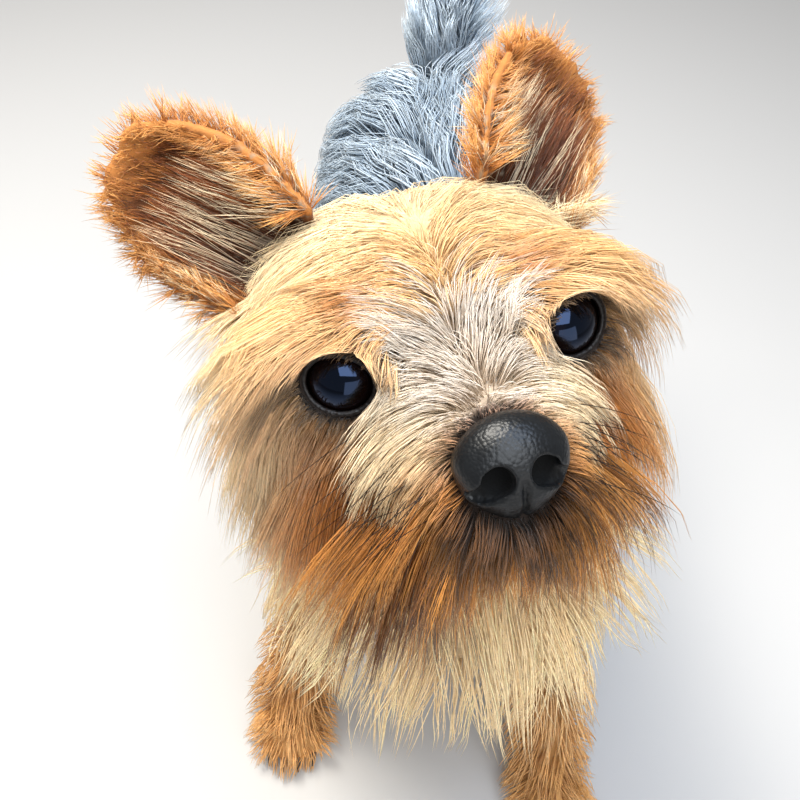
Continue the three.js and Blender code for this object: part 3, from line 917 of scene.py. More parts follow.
class Markings:
    """The colours of skin and coat, by place on the animal."""

    cream = srgb("f6e2ba")
    gold = srgb("e0ab66")
    rust = srgb("c2722c")
    copper = srgb("dc9645")
    deep = srgb("7d3e14")
    dark = srgb("1d120b")
    silver = srgb("e0dbd3")
    ash = srgb("77716c")
    steel = srgb("a3b4c2")
    # slate and frost: partly the coat's own dark and silver hairs, partly painted shade and painted highlight
    slate = srgb("52687f")
    frost = srgb("e8eef2")
    chest = srgb("ffe4b4")
    paw = srgb("e2a55e")

    def head(self, q: Array, draw: Array) -> tuple[Array, Array]:
        """Root and tip colours on the skull and muzzle.

        Args:
            q: places in the head's frame.
            draw: one random number from 0 to 1 for each place.

        Returns:
            Root colours and tip colours.
        """
        x, y, z = q.T
        ax = np.abs(x)
        gold = np.broadcast_to(self.gold, q.shape)
        # Paler crown, and paler jaw on the dog's right: partly the coat's own pale gold, partly painted light
        # on the top of the head and on the side that the key lamp lights
        crown = step(z, 6.0, 20.0) * step(y, -20.0, 4.0)
        jowl = 0.8 * step(-x, 18.0, 28.0) * step(z, -36.0, -16.0)
        pale = np.maximum(crown, jowl)
        root = blend(gold, self.cream, 0.15 + 0.55 * pale)
        tip = blend(gold, self.cream, 0.4 + 0.8 * pale + 0.8 * (draw - 0.5))
        # Warm shadow above the inner corner of each eye
        brow = patch(q, (10.0, -17.0, 9.0), (5.0, 6.0, 5.0))
        root, tip = blend(root, self.rust, 1.1 * brow), blend(tip, self.rust, 0.7 * brow)
        # Silver stop and bridge
        reach = 2.0 + 9.0 * (draw > 0.6)
        stop = step(-y, 14.0, 22.0) * (1 - step(ax, 7.0, 13.0)) * step(z, -12.0, -4.0)
        stop = stop * (1 - step(z, reach, reach + 5.0))
        root, tip = blend(root, self.ash, 0.55 * stop), blend(tip, self.silver, 0.95 * stop)
        # Orange under and behind the eyes
        cheek = patch(q, (21.0, -16.0, -12.0), (10.5, 13.0, 10.5))
        root, tip = blend(root, self.rust, 1.3 * cheek), blend(tip, self.copper, 1.1 * cheek)
        # Cream strands at the temples: partly the coat's own, partly painted light that lifts the shade under
        # the brow
        temple = step(ax, 22.0, 29.0) * step(z, -24.0, -8.0) * (draw > 0.3)
        root, tip = blend(root, self.gold, 0.5 * temple), blend(tip, self.cream, 0.6 * temple)
        # Muzzle: pale gold above, orange below, dark only at the mouth and in the beard
        side = step(-y, 20.0, 30.0) * step(ax, 4.0, 9.0) * step(z, -16.0, -9.0)
        root, tip = blend(root, self.cream, 0.4 * side), blend(tip, self.cream, side * (0.6 + 0.4 * draw))
        low = step(-y, 16.0, 26.0) * step(-z + 7.0 * (draw - 0.5), 8.0, 19.0)
        root, tip = blend(root, self.rust, 0.9 * low), blend(tip, self.copper, 0.95 * low)
        nose = np.exp(-((off_nose(q) - 1.0) / 0.35) ** 2)
        root, tip = blend(root, self.dark, nose), blend(tip, self.rust, 0.6 * nose)
        under = (1 - step(off_nose(q), 1.3, 1.8)) * step(-z, 15.0, 19.0)
        root, tip = blend(root, self.dark, under), blend(tip, self.dark, 0.7 * under)
        lip = step(-z, 14.0, 18.0) * step(-y, 22.0, 32.0) * step(x, -4.0, 4.0)
        beard = step(-z, 16.0, 22.0) * step(-y, 18.0, 28.0) * step(-x, 3.0, 10.0)
        root = blend(root, self.dark, 0.5 * lip + 0.3 * beard)
        tip = blend(tip, self.dark, 0.85 * lip * (draw > 0.52) + 0.95 * beard * (draw > 0.36))
        # Dark rims, in a faint warm ring
        for eye in EYES:
            off, turn = q - eye.centre(), eye.off_gaze(q)
            lean, away = eye.side * unit(off)[:, 0], np.linalg.norm(off, axis=1)
            inner = np.clip(-lean, 0.0, 1.0)
            outer = np.clip(lean, 0.0, 1.0) * step(unit(off)[:, 2], -0.1, 0.3)
            rim = 1.0 - np.clip((turn - 38.0 - 12.0 * inner) / (7.0 + 10.0 * inner + 4.0 * outer), 0, 1)
            ring = (1.0 - step(turn, 52.0, 80.0)) * (away < 15.0)
            root, tip = blend(root, self.deep, 0.35 * ring), blend(tip, self.rust, 0.4 * ring)
            rim *= away < 14.0
            root, tip = blend(root, self.dark, rim), blend(tip, self.dark, 0.7 * rim)
        return root, tip

    def ear(self, t: Array, v: Array, inner: Array, draw: Array) -> tuple[Array, Array]:
        """Root and tip colours on an ear.

        Args:
            t: share of the ear's length.
            v: share of its width, from -1 to 1.
            inner: 1 inside the cup and 0 on its back.
            draw: one random number from 0 to 1 for each place.

        Returns:
            Root colours and tip colours.
        """
        base = np.broadcast_to(self.rust, (len(t), 3))
        edge = step(np.abs(v), 0.55, 0.95) + step(t, 0.75, 0.95)
        root = blend(base, self.deep, 0.9 * (1 - np.clip(edge, 0, 1)))
        tip = blend(base, self.gold, 0.75 * np.clip(edge, 0, 1) + 0.3 * draw)
        streak = inner * (draw > 0.6) * (1 - step(t, 0.25, 0.65))
        root, tip = blend(root, self.ash, 0.8 * streak), blend(tip, self.cream, 0.85 * streak)
        dim = inner * (draw < 0.6) * (1 - np.clip(edge, 0, 1))
        return blend(root, self.dark, 0.85 * dim), blend(tip, self.deep, 0.9 * dim)

    def body(self, p: Array, draw: Array) -> tuple[Array, Array]:
        """Root and tip colours on the neck, trunk and tail.

        Args:
            p: places in the dog's frame.
            draw: one random number from 0 to 1 for each place.

        Returns:
            Root colours and tip colours.
        """
        blue = np.broadcast_to(self.steel, p.shape)
        # Slate roots and pale frosty tips: partly the coat's own dark and silver hairs, partly painted shade
        # deep in the coat and painted highlights on the tips
        root = blend(blue, self.slate, 0.9 - 0.5 * draw)
        tip = blend(blue, self.frost, 0.1 + 0.6 * draw)
        front = 1.0 - behind_breast(p, -52.0, -28.0)
        low = 1.0 - step(p[:, 2], 98.0, 112.0)
        pale = np.clip(front + low, 0, 1)
        root = blend(root, self.gold, 0.95 * pale)
        tip = blend(tip, self.chest, pale)
        return blend(root, self.chest, 0.75 * pale), tip

    def leg(self, p: Array, draw: Array) -> tuple[Array, Array]:
        """Root and tip colours on the legs and paws.

        Args:
            p: places in the dog's frame.
            draw: one random number from 0 to 1 for each place.

        Returns:
            Root colours and tip colours.
        """
        gold = np.broadcast_to(self.gold, p.shape)
        high = step(p[:, 2], 42.0, 80.0)
        root = blend(blend(gold, self.rust, 0.4 * (1 - high)), self.chest, 0.7 * high)
        tip = blend(blend(gold, self.paw, 0.6 * (1 - high)), self.chest, 0.85 * high + 0.35 * draw)
        back = step(p[:, 1], 20.0, 50.0) * step(p[:, 2], 96.0, 116.0)
        return blend(root, self.slate, 0.6 * back), blend(tip, self.steel, 0.9 * back)


MARKINGS = Markings()


@dataclass
class Surface:
    """Places on the skin, with what the coat and the markings need to know of each."""

    points: Array
    normals: Array
    index: Array
    forms: Forms

    def region(self) -> Array:
        """The region of each place."""
        return self.forms.r[self.index]

    def colours(self, draw: Array) -> tuple[Array, Array]:
        """Root and tip colours of each place.

        Args:
            draw: one random number from 0 to 1 for each place.

        Returns:
            Root colours and tip colours.
        """
        root, tip = np.zeros_like(self.points), np.zeros_like(self.points)
        region, spots = self.region(), self.forms.p[self.index]
        for regions, places, found in (
            (HEAD_REGIONS, HEAD.into(self.points), MARKINGS.head),
            ((*TRUNK_REGIONS, Region.TAIL), self.points, MARKINGS.body),
            (LEG_REGIONS, self.points, MARKINGS.leg),
        ):
            mask = np.isin(region, regions)
            if mask.any():
                root[mask], tip[mask] = found(places[mask], draw[mask])
        for ear in EARS:
            mask = region == ear.region
            if mask.any():
                front = HEAD.turned(ear.axes()[1])
                inner = (self.normals[mask] @ front > 0.0).astype(float)
                root[mask], tip[mask] = MARKINGS.ear(spots[mask, 0], spots[mask, 1], inner, draw[mask])
        return root, tip


# Skin


@dataclass
class Skin:
    """One closed skin over all the flesh, ears included."""

    flesh: Flesh
    voxel: float = 1.5
    smoothing: int = 8
    sole: float = 0.3
    socket_gap: float = 0.25

    def build(self) -> tuple[bpy.types.Object, Forms]:
        """Grows the skin from the flesh.

        Returns:
            The skin, and the flesh as ellipsoids.
        """
        forms = self.flesh.forms()
        balls = []
        for at, axes, sizes, solid in zip(forms.c, forms.a, forms.s, forms.solid):
            if solid:
                bpy.ops.mesh.primitive_uv_sphere_add(
                    segments=20, ring_count=12, radius=1.0, location=Vector(row(at)),
                    rotation=Matrix(axes).to_euler(), scale=Vector(sizes * MM),
                )
                balls.append(bpy.context.object)
        select(*balls)
        bpy.ops.object.join()
        skin = active("skin")
        settle(skin)
        ears = [self.leather(ear) for ear in EARS]
        select(skin, *ears)
        bpy.ops.object.join()
        apply_modifier(skin, "REMESH", mode="VOXEL", voxel_size=self.voxel * MM, adaptivity=0.0)
        apply_modifier(skin, "SMOOTH", factor=0.5, iterations=self.smoothing)
        flat = coordinates(skin)
        flat[:, 2] = np.maximum(flat[:, 2], self.sole * MM)
        place(skin, flat)
        self.sockets(skin)
        smooth(skin)
        return skin, forms

    def leather(self, ear: EarShape) -> bpy.types.Object:
        """One ear's leather as a closed cupped leaf.

        Args:
            ear: the ear.

        Returns:
            The leaf.
        """
        deselect()
        cuts = 22
        bpy.ops.mesh.primitive_grid_add(x_subdivisions=cuts, y_subdivisions=cuts, size=2.0)
        leaf = active("ear_leaf")
        flat = coordinates(leaf)
        points = ear.points((flat[:, 1] + 1.0) / 2.0, flat[:, 0])
        place(leaf, row(HEAD.out(points)))
        apply_modifier(leaf, "SOLIDIFY", thickness=ear.thickness * MM, offset=0.0)
        return leaf

    def sockets(self, skin: bpy.types.Object) -> None:
        """Hollows the skin behind each pair of lids, and cuts the almond opening between them.

        Args:
            skin: the skin.
        """
        for eye in EYES:
            deselect()
            bpy.ops.mesh.primitive_uv_sphere_add(segments=40, ring_count=24, radius=1.0)
            hollow = active("hollow")
            ball = coordinates(hollow) * (eye.radius + self.socket_gap)
            place(hollow, row(HEAD.out(ball + eye.centre())))
            bpy.ops.mesh.primitive_cylinder_add(vertices=48, radius=1.0, depth=2.0)
            opening = active("opening")
            x, y, z = coordinates(opening).T
            high = y * eye.half_high + eye.slant * x * eye.side
            almond = np.stack([x * eye.half_wide, high, eye.radius + z * 5.0], axis=1)
            place(opening, row(HEAD.out(almond @ eye.axes().T + eye.centre())))
            cut(skin, hollow)
            cut(skin, opening)

    def dress(self, skin: bpy.types.Object, forms: Forms) -> None:
        """Gives the skin the coat's markings, darker, and near-black leather round the eyes and nose.

        Args:
            skin: the skin.
            forms: the flesh.
        """
        points = shape_of(skin)
        normals = np.empty(points.size)
        skin.data.vertices.foreach_get("normal", normals)
        _, _, index = forms.nearest(points)
        surface = Surface(points, normals.reshape(-1, 3), index, forms)
        draw = np.random.default_rng(5).random(len(points))
        root, tip = surface.colours(0.3 + 0.4 * draw)
        shade = 0.62 * (root * 0.7 + tip * 0.3)
        q = HEAD.into(points)
        bare = [1.0 - step(off_nose(q), 1.25, 1.6)]
        for eye in EYES:
            near = np.linalg.norm(q - eye.centre(), axis=1) < 13.5
            bare.append((1.0 - step(eye.off_gaze(q), 62.0, 86.0)) * near)
        shade = blend(shade, MARKINGS.dark, np.max(bare, axis=0))
        paint(skin, shade)
        skin.data.materials.clear()
        finish = Hair(name="terrier_skin", roughness=0.8, grain=500.0, sheen=0.1, bump=0.6)
        skin.data.materials.append(finish.build())


def paint(piece: bpy.types.Object, colours: Array) -> None:
    """Writes a colour for each vertex, which the finishes read.

    Args:
        piece: the piece.
        colours: the vertices' linear colours.
    """
    layer = piece.data.color_attributes.new(name="Mark", type="FLOAT_COLOR", domain="POINT")
    rows = np.concatenate([np.clip(colours, 0.0, 1.0), np.ones((len(colours), 1))], axis=1)
    layer.data.foreach_set("color", rows.astype(np.float32).ravel())


# Eyes, lids, nose and claws


@dataclass
class EyeSet:
    """Eyeballs and their lids."""

    rim_at: float = 0.8
    rim_high: float = 0.65
    rim_wide: float = 0.85
    cornea: float = 0.55
    gaze_reach: float = 60.0

    def build(self) -> None:
        """Makes both eyes and both pairs of lids."""
        finish = EyeGlass().build()
        leather = Hair(name="lid_leather", roughness=0.38, grain=1400.0, contrast=0.3, sheen=0.0, bump=0.5)
        rim = leather.build()
        for eye in EYES:
            side = "left" if eye.side > 0 else "right"
            ball = self.ball(eye, "eyeball_" + side)
            ball.data.materials.append(finish)
            register(ball, "eye_dark", "eye_" + side)
            lids = self.lids(eye, "lids_" + side)
            lids.data.materials.append(rim)
            register(lids, "eye_dark")

    def ball(self, eye: Eye, name: str) -> bpy.types.Object:
        """An eyeball with a slightly raised cornea.

        Args:
            eye: the eye.
            name: the piece's name.

        Returns:
            The eyeball.
        """
        deselect()
        bpy.ops.mesh.primitive_uv_sphere_add(segments=96, ring_count=64, radius=1.0)
        made = active(name)
        local = unit(coordinates(made))
        cosine = local[:, 2]
        cornea = self.cornea * step(cosine, 0.72, 0.98)
        shaped = local * (eye.radius - 0.1 + cornea)[:, None]
        place(made, row(HEAD.out(shaped @ eye.axes().T + eye.centre())))
        gaze = made.data.attributes.new("Gaze", "FLOAT", "POINT")
        angle = np.arccos(np.clip(cosine, -1, 1)) / math.radians(self.gaze_reach)
        gaze.data.foreach_set("value", np.clip(angle, 0, 1).astype(np.float32))
        smooth(made)
        return made

    def lids(self, eye: Eye, name: str) -> bpy.types.Object:
        """The rounded black rim round the almond opening, shaped from a ring.

        Args:
            eye: the eye.
            name: the piece's name.

        Returns:
            The lids.
        """
        deselect()
        bpy.ops.mesh.primitive_torus_add(
            major_segments=72, minor_segments=14, major_radius=1.0, minor_radius=0.4
        )
        made = active(name)
        flat = coordinates(made)
        phi = np.arctan2(flat[:, 1], flat[:, 0])
        theta = np.arctan2(flat[:, 2], np.hypot(flat[:, 0], flat[:, 1]) - 1.0)
        u = eye.half_wide * np.cos(phi)
        v = eye.half_high * np.sin(phi) + eye.slant * np.cos(phi) * eye.side
        reach = np.hypot(u, v) + 0.15 + self.rim_wide * np.cos(theta)
        height = eye.radius + self.rim_at + self.rim_high * np.sin(theta)
        polar = np.arcsin(np.clip(reach / (eye.radius + self.rim_at), 0.0, 0.99))
        turn = np.arctan2(v, u)
        local = np.stack([np.sin(polar) * np.cos(turn), np.sin(polar) * np.sin(turn), np.cos(polar)], axis=1)
        place(made, row(HEAD.out((local * height[:, None]) @ eye.axes().T + eye.centre())))
        select(made)
        face_outward()
        bpy.ops.object.shade_smooth()
        paint(made, np.broadcast_to(srgb("120d0b"), flat.shape))
        return made


@dataclass
class Nose:
    """The leather of the nose with its nostrils and groove."""

    voxel: float = 0.34
    groove_depth: float = 1.3
    nostril: tuple = (
        (3.8, -54.4, -11.6, 2.3), (3.8, -53.4, -12.4, 2.6), (4.0, -51.8, -12.6, 2.7),
        (5.0, -53.0, -13.6, 2.1), (5.9, -52.2, -14.3, 1.9), (6.9, -51.2, -14.8, 1.6), (7.8, -50.3, -15.0, 1.3),
    )

    def build(self) -> None:
        """Makes the nose."""
        deselect()
        bpy.ops.mesh.primitive_uv_sphere_add(segments=64, ring_count=40, radius=1.0)
        nose = active("nose_leather")
        local = coordinates(nose)
        x, y, z = local.T
        # Broad and flat on top, narrower below, with wings that stand out round the nostrils
        wide = 1.0 + 0.10 * step(z, -0.2, 0.5) - 0.16 * step(-z, 0.2, 1.0)
        wing = 0.10 * np.exp(-(((np.abs(x) - 0.72) / 0.28) ** 2) - ((z + 0.05) / 0.45) ** 2)
        shaped = np.stack([x * (wide + wing), y - 0.06 * step(-y, 0.2, 0.9) * (1 - z * z), z], axis=1)
        place(nose, row(HEAD.out(shaped * NOSE_HALF + NOSE_AT)))
        for side in (1, -1):
            self.carve(nose, side)
        apply_modifier(nose, "REMESH", mode="VOXEL", voxel_size=self.voxel * MM)
        self.groove(nose)
        apply_modifier(nose, "SMOOTH", factor=0.5, iterations=3)
        # Painted shade: the mesh marks the places deep inside the nose's form, the nostrils and the groove,
        # and its finish paints them near-black
        depth = off_nose(HEAD.into(shape_of(nose)))
        hollow = nose.data.attributes.new("HollowShade", "FLOAT", "POINT")
        hollow.data.foreach_set("value", (1.0 - step(depth, 0.78, 0.92)).astype(np.float32))
        smooth(nose)
        nose.data.materials.clear()
        nose.data.materials.append(NoseLeather().build())
        register(nose, "nose_leather", "nose")

    def carve(self, nose: bpy.types.Object, side: int) -> None:
        """Cuts one comma-shaped nostril with balls along a path.

        Args:
            nose: the nose.
            side: 1 for the left nostril and -1 for the right.
        """
        for x, y, z, radius in self.nostril:
            deselect()
            at = HEAD.out(np.array([[NOSE_AT[0] + x * side, y, z]]))
            bpy.ops.mesh.primitive_uv_sphere_add(
                segments=24, ring_count=14, radius=radius * MM, location=Vector(row(at)[0])
            )
            cutter = active("nostril")
            settle(cutter)
            cut(nose, cutter)

    def groove(self, nose: bpy.types.Object) -> None:
        """Presses in the fine groove down the middle of the nose.

        Args:
            nose: the nose.
        """
        q = HEAD.into(shape_of(nose))
        x, y, z = (q - NOSE_AT).T
        q[:, 1] += self.groove_depth * np.exp(-((x / 0.5) ** 2)) * step(-z, -0.5, 3.0) * (y < 0.0)
        place(nose, row(HEAD.out(q)))


@dataclass
class Claws:
    """Short dark claws at the front of each paw."""

    flesh: Flesh
    length: float = 6.0
    radius: float = 1.25

    def build(self) -> None:
        """Makes all the claws as one piece."""
        made = [
            self.claw(np.array(at))
            for stations in self.flesh.legs()
            for at in self.flesh.toes(stations, 17.0, 4.4)
        ]
        select(*made)
        bpy.ops.object.join()
        claws = active("claws")
        bpy.ops.object.shade_smooth()
        claws.data.materials.append(Horn().build())
        register(claws, "nose_leather")

    def claw(self, at: Array) -> bpy.types.Object:
        """One claw, bent down towards its tip.

        Args:
            at: its place in the dog's frame.

        Returns:
            The claw.
        """
        deselect()
        bpy.ops.mesh.primitive_cone_add(
            vertices=12, radius1=self.radius, radius2=0.25, depth=self.length, end_fill_type="NGON"
        )
        claw = active("claw")
        bpy.ops.object.mode_set(mode="EDIT")
        bpy.ops.mesh.select_all(action="SELECT")
        bpy.ops.mesh.subdivide(number_cuts=3)
        bpy.ops.object.mode_set(mode="OBJECT")
        x, y, z = coordinates(claw).T
        t = z / self.length + 0.5
        bent = np.stack([x, -t * self.length + 2.0 - 0.6 * y, y - 2.4 * t * t + 0.4], axis=1)
        place(claw, row(bent + at))
        face_outward()
        return claw


# Coat


def before_eye(eye: Eye, q: Array) -> tuple[Array, Array]:
    """Places seen along the sight of an eye.

    Args:
        eye: the eye.
        q: places in the head's frame.

    Returns:
        Their columns across, up and out, and how far they are from the middle of the opening (1 at its edge).
    """
    seen = (q - eye.window()) @ eye.sight()
    inside = np.hypot(seen[..., 0] / (eye.half_wide + 0.6), seen[..., 1] / (eye.half_high + 0.4))
    above = (seen[..., 2] > -2.0) & (np.linalg.norm(q - eye.centre(), axis=-1) > eye.radius + 3.6)
    return seen, np.where(above, inside, 9.0)


def clear_of_eyes(points: Array) -> Array:
    """Moves places aside where they would hang before an eye.

    Args:
        points: places in the dog's frame.

    Returns:
        The same places, clear of both eyes.
    """
    q = HEAD.into(points)
    for eye in EYES:
        seen, inside = before_eye(eye, q)
        scale = np.where(inside < 1.0, 1.0 / np.maximum(inside, 0.2), 1.0)
        seen[:, :2] *= scale[:, None]
        q = seen @ eye.sight().T + eye.window()
    return HEAD.out(q)


def astray(curve: Array) -> Array:
    """Which tufts cross an eye between two rings, or cross the bridge of the nose.

    Args:
        curve: for each tuft, its points from root to tip, in the dog's frame.

    Returns:
        True for each tuft that is to be left out.
    """
    q = HEAD.into(curve.reshape(-1, 3)).reshape(curve.shape)
    middle = (q[:, 1:] + q[:, :-1]) / 2.0
    lost = (q[:, 0, 0] * q[:, -1, 0] < 0.0) & (np.abs(q[:, 0, 0] - q[:, -1, 0]) > 7.0) & (q[:, 0, 2] > -12.0)
    for eye in EYES:
        lost |= (before_eye(eye, middle)[1] < 0.93).any(axis=1)
    return lost & (np.linalg.norm(q[:, 0], axis=1) < 70.0)


@dataclass(frozen=True)
class CoatPlan:
    """One kind of coat: where it grows, how many tufts, and how they gather and curl."""

    name: str
    slot: str
    regions: tuple[Region, ...]
    tufts: int
    guides: int
    rings: int
    width: float
    clump: float = 0.5
    frizz: float = 0.6
    wave: float = 0.0
    wavelength: float = 14.0
    scatter: float = 0.18
    pieces: int = 1


@dataclass
class Lie:
    """How hair starts at each root: its way, its length, how it stands and how it falls."""

    way: Array
    length: Array
    lift: Array
    droop: Array
    loft: Array
    cling: Array


class Coat:
    """Tufts over the skin.

    Guide hairs follow the lie, fall and stay outside the skin, and the tufts follow the guides.
    """

    steps = 9

    def __init__(self, skin: bpy.types.Object, forms: Forms, seed: int = 11) -> None:
        """Reads the skin's triangles.

        Args:
            skin: the finished skin.
            forms: the flesh as ellipsoids.
            seed: for every random draw.
        """
        self.forms = forms
        self.rng = np.random.default_rng(seed)
        mesh = skin.data
        mesh.calc_loop_triangles()
        corners = np.empty(len(mesh.loop_triangles) * 3, dtype=np.int64)
        mesh.loop_triangles.foreach_get("vertices", corners)
        points = shape_of(skin)
        self.triangles = points[corners.reshape(-1, 3)]
        edges = self.triangles[:, 1:] - self.triangles[:, :1]
        cross = np.cross(edges[:, 0], edges[:, 1])
        self.areas = np.linalg.norm(cross, axis=1) / 2
        self.facing = unit(cross)
        _, _, self.nearest = forms.nearest(self.triangles.mean(1))

    def weight(self, regions: tuple[Region, ...]) -> Array:
        """How densely each triangle is covered.

        Args:
            regions: which parts of the animal.

        Returns:
            A weight for each triangle: more on the face, none in the eyes, on the nose or under the soles.
        """
        middle = self.triangles.mean(1)
        wanted = np.isin(self.forms.r[self.nearest], regions) * self.areas
        q = HEAD.into(middle)
        for eye in EYES:
            wanted *= np.linalg.norm(q - eye.centre(), axis=1) > eye.radius + 0.9
        wanted *= off_nose(q) > 0.94
        wanted *= middle[:, 2] > 2.5
        spots = self.forms.p[self.nearest]
        ears = np.isin(self.forms.r[self.nearest], EAR_REGIONS)
        wanted *= 1.0 + 4.0 * ears * step(np.abs(spots[:, 1]), 0.75, 0.9)
        wanted *= 1.0 + 2.0 * (1 - ears) * step(middle[:, 1], 15.0, 45.0) * step(self.facing[:, 2], 0.0, 0.5)
        if Region.SKULL in regions:
            wanted *= 1.0 + 1.6 * step(-q[:, 1], -6.0, 14.0)
            wanted *= 1.0 - 0.75 * step(-q[:, 2], 20.0, 30.0) * (q[:, 1] > -18.0)
        return wanted

    def roots(self, regions: tuple[Region, ...], count: int) -> Surface:
        """Random places on the skin, spread by weight.

        Args:
            regions: which parts of the animal.
            count: how many.

        Returns:
            The places.
        """
        chance = self.weight(regions)
        picked = self.rng.choice(len(chance), size=count, p=chance / chance.sum())
        a, b = self.rng.random((2, count, 1))
        flip = (a + b > 1.0)[:, 0]
        a[flip], b[flip] = 1.0 - a[flip], 1.0 - b[flip]
        corner = self.triangles[picked]
        points = corner[:, 0] + a * (corner[:, 1] - corner[:, 0]) + b * (corner[:, 2] - corner[:, 0])
        return Surface(points, self.facing[picked], self.nearest[picked], self.forms)

    # Lie of the coat by region

    def lie(self, roots: Surface) -> Lie:
        """How hair starts at these roots.

        Args:
            roots: places on the skin.

        Returns:
            The lie at each of them.
        """
        n = len(roots.points)
        lie = Lie(np.zeros((n, 3)), *(np.zeros(n) for _ in range(5)))
        for regions, found in (
            (HEAD_REGIONS, self.head_lie),
            (TRUNK_REGIONS, self.trunk_lie),
            ((Region.TAIL,), self.tail_lie),
            (LEG_REGIONS, self.leg_lie),
            (EAR_REGIONS, self.ear_lie),
        ):
            mask = np.isin(roots.region(), regions)
            if mask.any():
                part = found(Surface(roots.points[mask], roots.normals[mask], roots.index[mask], self.forms))
                for name, values in vars(part).items():
                    getattr(lie, name)[mask] = values
        return lie

    def head_lie(self, roots: Surface) -> Lie:
        """Back over the stop, out from the parting over the brows, and down the cheeks and beard.

        Args:
            roots: places on the skull and muzzle.

        Returns:
            The lie at each of them.
        """
        q, n = HEAD.into(roots.points), HEAD.unturned(roots.normals)
        x, y, z = q.T
        ax, side = np.abs(x), np.where(x < 0, -1.0, 1.0)
        down = HEAD.unturned(DOWN)
        hub = unit(q - np.array([0.0, -42.0, -1.0]))
        muzzle = step(-y, 19.0, 28.0)
        stop = (1 - step(ax, 7.0, 12.0)) * (1 - step(z, 3.0, 9.0)) * step(-y, 8.0, 16.0)
        centre = np.exp(-((x / 4.0) ** 2))
        rise = step(-y, -6.0, 14.0)
        comb = np.stack([side * (1.0 - 0.8 * centre), 0.3 - 0.25 * rise, 0.5 * rise * centre - 0.05], axis=1)
        hang = down + np.where(x < 0, -0.15, 0.5)[:, None] * np.array([1.0, 0.0, 0.0])
        cheek = np.clip(step(ax, 14.0, 25.0) + step(-z, -2.0, 8.0), 0, 1)
        skull = comb * (1 - cheek)[:, None] + hang * cheek[:, None]
        away, close = np.zeros_like(q), np.zeros(len(q))
        for eye in EYES:
            off = q - eye.centre()
            inner = np.clip(-eye.side * unit(off)[:, 0], 0.0, 1.0)
            turn = eye.off_gaze(q)
            near = 1.0 - np.clip((turn - 38.0 - 22.0 * inner) / (18.0 + 10.0 * inner), 0.0, 1.0)
            near *= 1.0 - step(np.linalg.norm(off, axis=1), 12.0, 15.5)
            away += tangent_to(off + np.array([eye.side * 6.0, 0.0, 0.0]), n) * near[:, None]
            close = np.maximum(close, near)
        back = (step(y, -44.0, -30.0) * step(ax, 5.0, 11.0))[:, None]
        fall = np.stack([0.2 * side, 0 * x - 0.2, 0 * x - 0.8], axis=1)
        beard = hub * (1.0 - 0.75 * back) + (0.6 + 0.9 * back) * fall
        front = np.maximum(muzzle, stop)
        way = skull * (1 - front)[:, None] + beard * muzzle[:, None] + hub * (stop * (1 - muzzle))[:, None]
        way = unit(way) * (1 - 0.75 * close)[:, None] + away
        top = (1 - step(ax, 5.0, 10.0)) * step(z, -12.0, -5.0)
        skull_length = 37.0 - 10.0 * step(y, 4.0, 30.0) + 6.0 * cheek * step(-y, -6.0, 8.0)
        skull_length *= 1.0 - 0.72 * step(-y, 8.0, 15.0) * (1 - step(ax, 12.0, 19.0))
        skull_length *= 1.0 - (0.25 + 0.15 * (x > 0)) * step(ax, 10.0, 22.0) * step(z, 1.0, 9.0)
        low = step(-z, 12.0, 22.0)
        muzzle_length = 8.0 + 15.0 * step(y, -46.0, -26.0) * step(ax, 3.0, 12.0) + 13.0 * low
        muzzle_length = muzzle_length + 9.0 * low * step(-x, 4.0, 12.0) * step(y, -44.0, -34.0)
        muzzle_length = muzzle_length * (1 - top) + (6.0 + 7.0 * step(y, -44.0, -26.0)) * top
        length = skull_length * (1 - front) + muzzle_length * muzzle + 13.0 * stop * (1 - muzzle)
        length = length * (0.35 + 0.65 * step(off_nose(q), 1.1, 1.9))
        length = length * (1 - close) + 3.2 * close
        free = muzzle * (1 - top)
        lift = 0.14 + 0.1 * cheek + 0.36 * free
        droop = 1.0 + 0.2 * cheek + 0.3 * free
        full = np.where(x < 0, 3.5 + 2.0 * step(-z, 0.0, 10.0), 4.0 + 11.0 * step(-z, 0.0, 10.0))
        loft = 2.5 + full * step(ax, 14.0, 30.0) * (1 - muzzle) + 2.0 * free
        loft = loft * (1 - 0.85 * close)
        cling = 0.6 * (1 - cheek) * (1 - free)
        return Lie(HEAD.turned(tangent_to(way, n)), length, lift * (1 - 0.5 * close), droop, loft, cling)

    def ear_lie(self, roots: Surface) -> Lie:
        """Along the ear from its base, fanning to its edges.

        Args:
            roots: places on the ears.

        Returns:
            The lie at each of them.
        """
        t, v = self.forms.p[roots.index].T
        way = np.zeros_like(roots.points)
        inner, rim = np.zeros(len(t)), np.zeros(len(t))
        for ear in EARS:
            mask = self.forms.r[roots.index] == ear.region
            along, front, across = ear.axes()
            here, normals = v[mask], roots.normals[mask]
            fan = 0.45 * here + 0.35 * np.sign(here) * step(np.abs(here), 0.6, 1.0)
            way[mask] = HEAD.turned(along + across * fan[:, None])
            inner[mask] = normals @ HEAD.turned(front) > 0
            rim[mask] = step(np.abs(normals @ HEAD.turned(across)), 0.5, 0.9) * (np.abs(here) > 0.6)
        edge = np.clip(step(np.abs(v), 0.7, 1.0) + step(t, 0.8, 1.0), 0, 1)
        streamers = 15.0 * inner * (1 - step(t, 0.1, 0.6)) * (1 - 0.75 * step(np.abs(v), 0.45, 0.8))
        length = 6.5 + streamers - 2.6 * edge + 2.5 * rim
        lift = 0.14 + 0.3 * inner * (1 - t) + 0.35 * step(np.abs(v), 0.8, 0.95) * (1 - rim) + 0.12 * rim
        loft = (0.9 + 3.0 * inner * (1 - t)) * (1 - rim)
        return Lie(tangent_to(way, roots.normals), length, lift, 0.15 + 0 * t, loft, 0 * t)

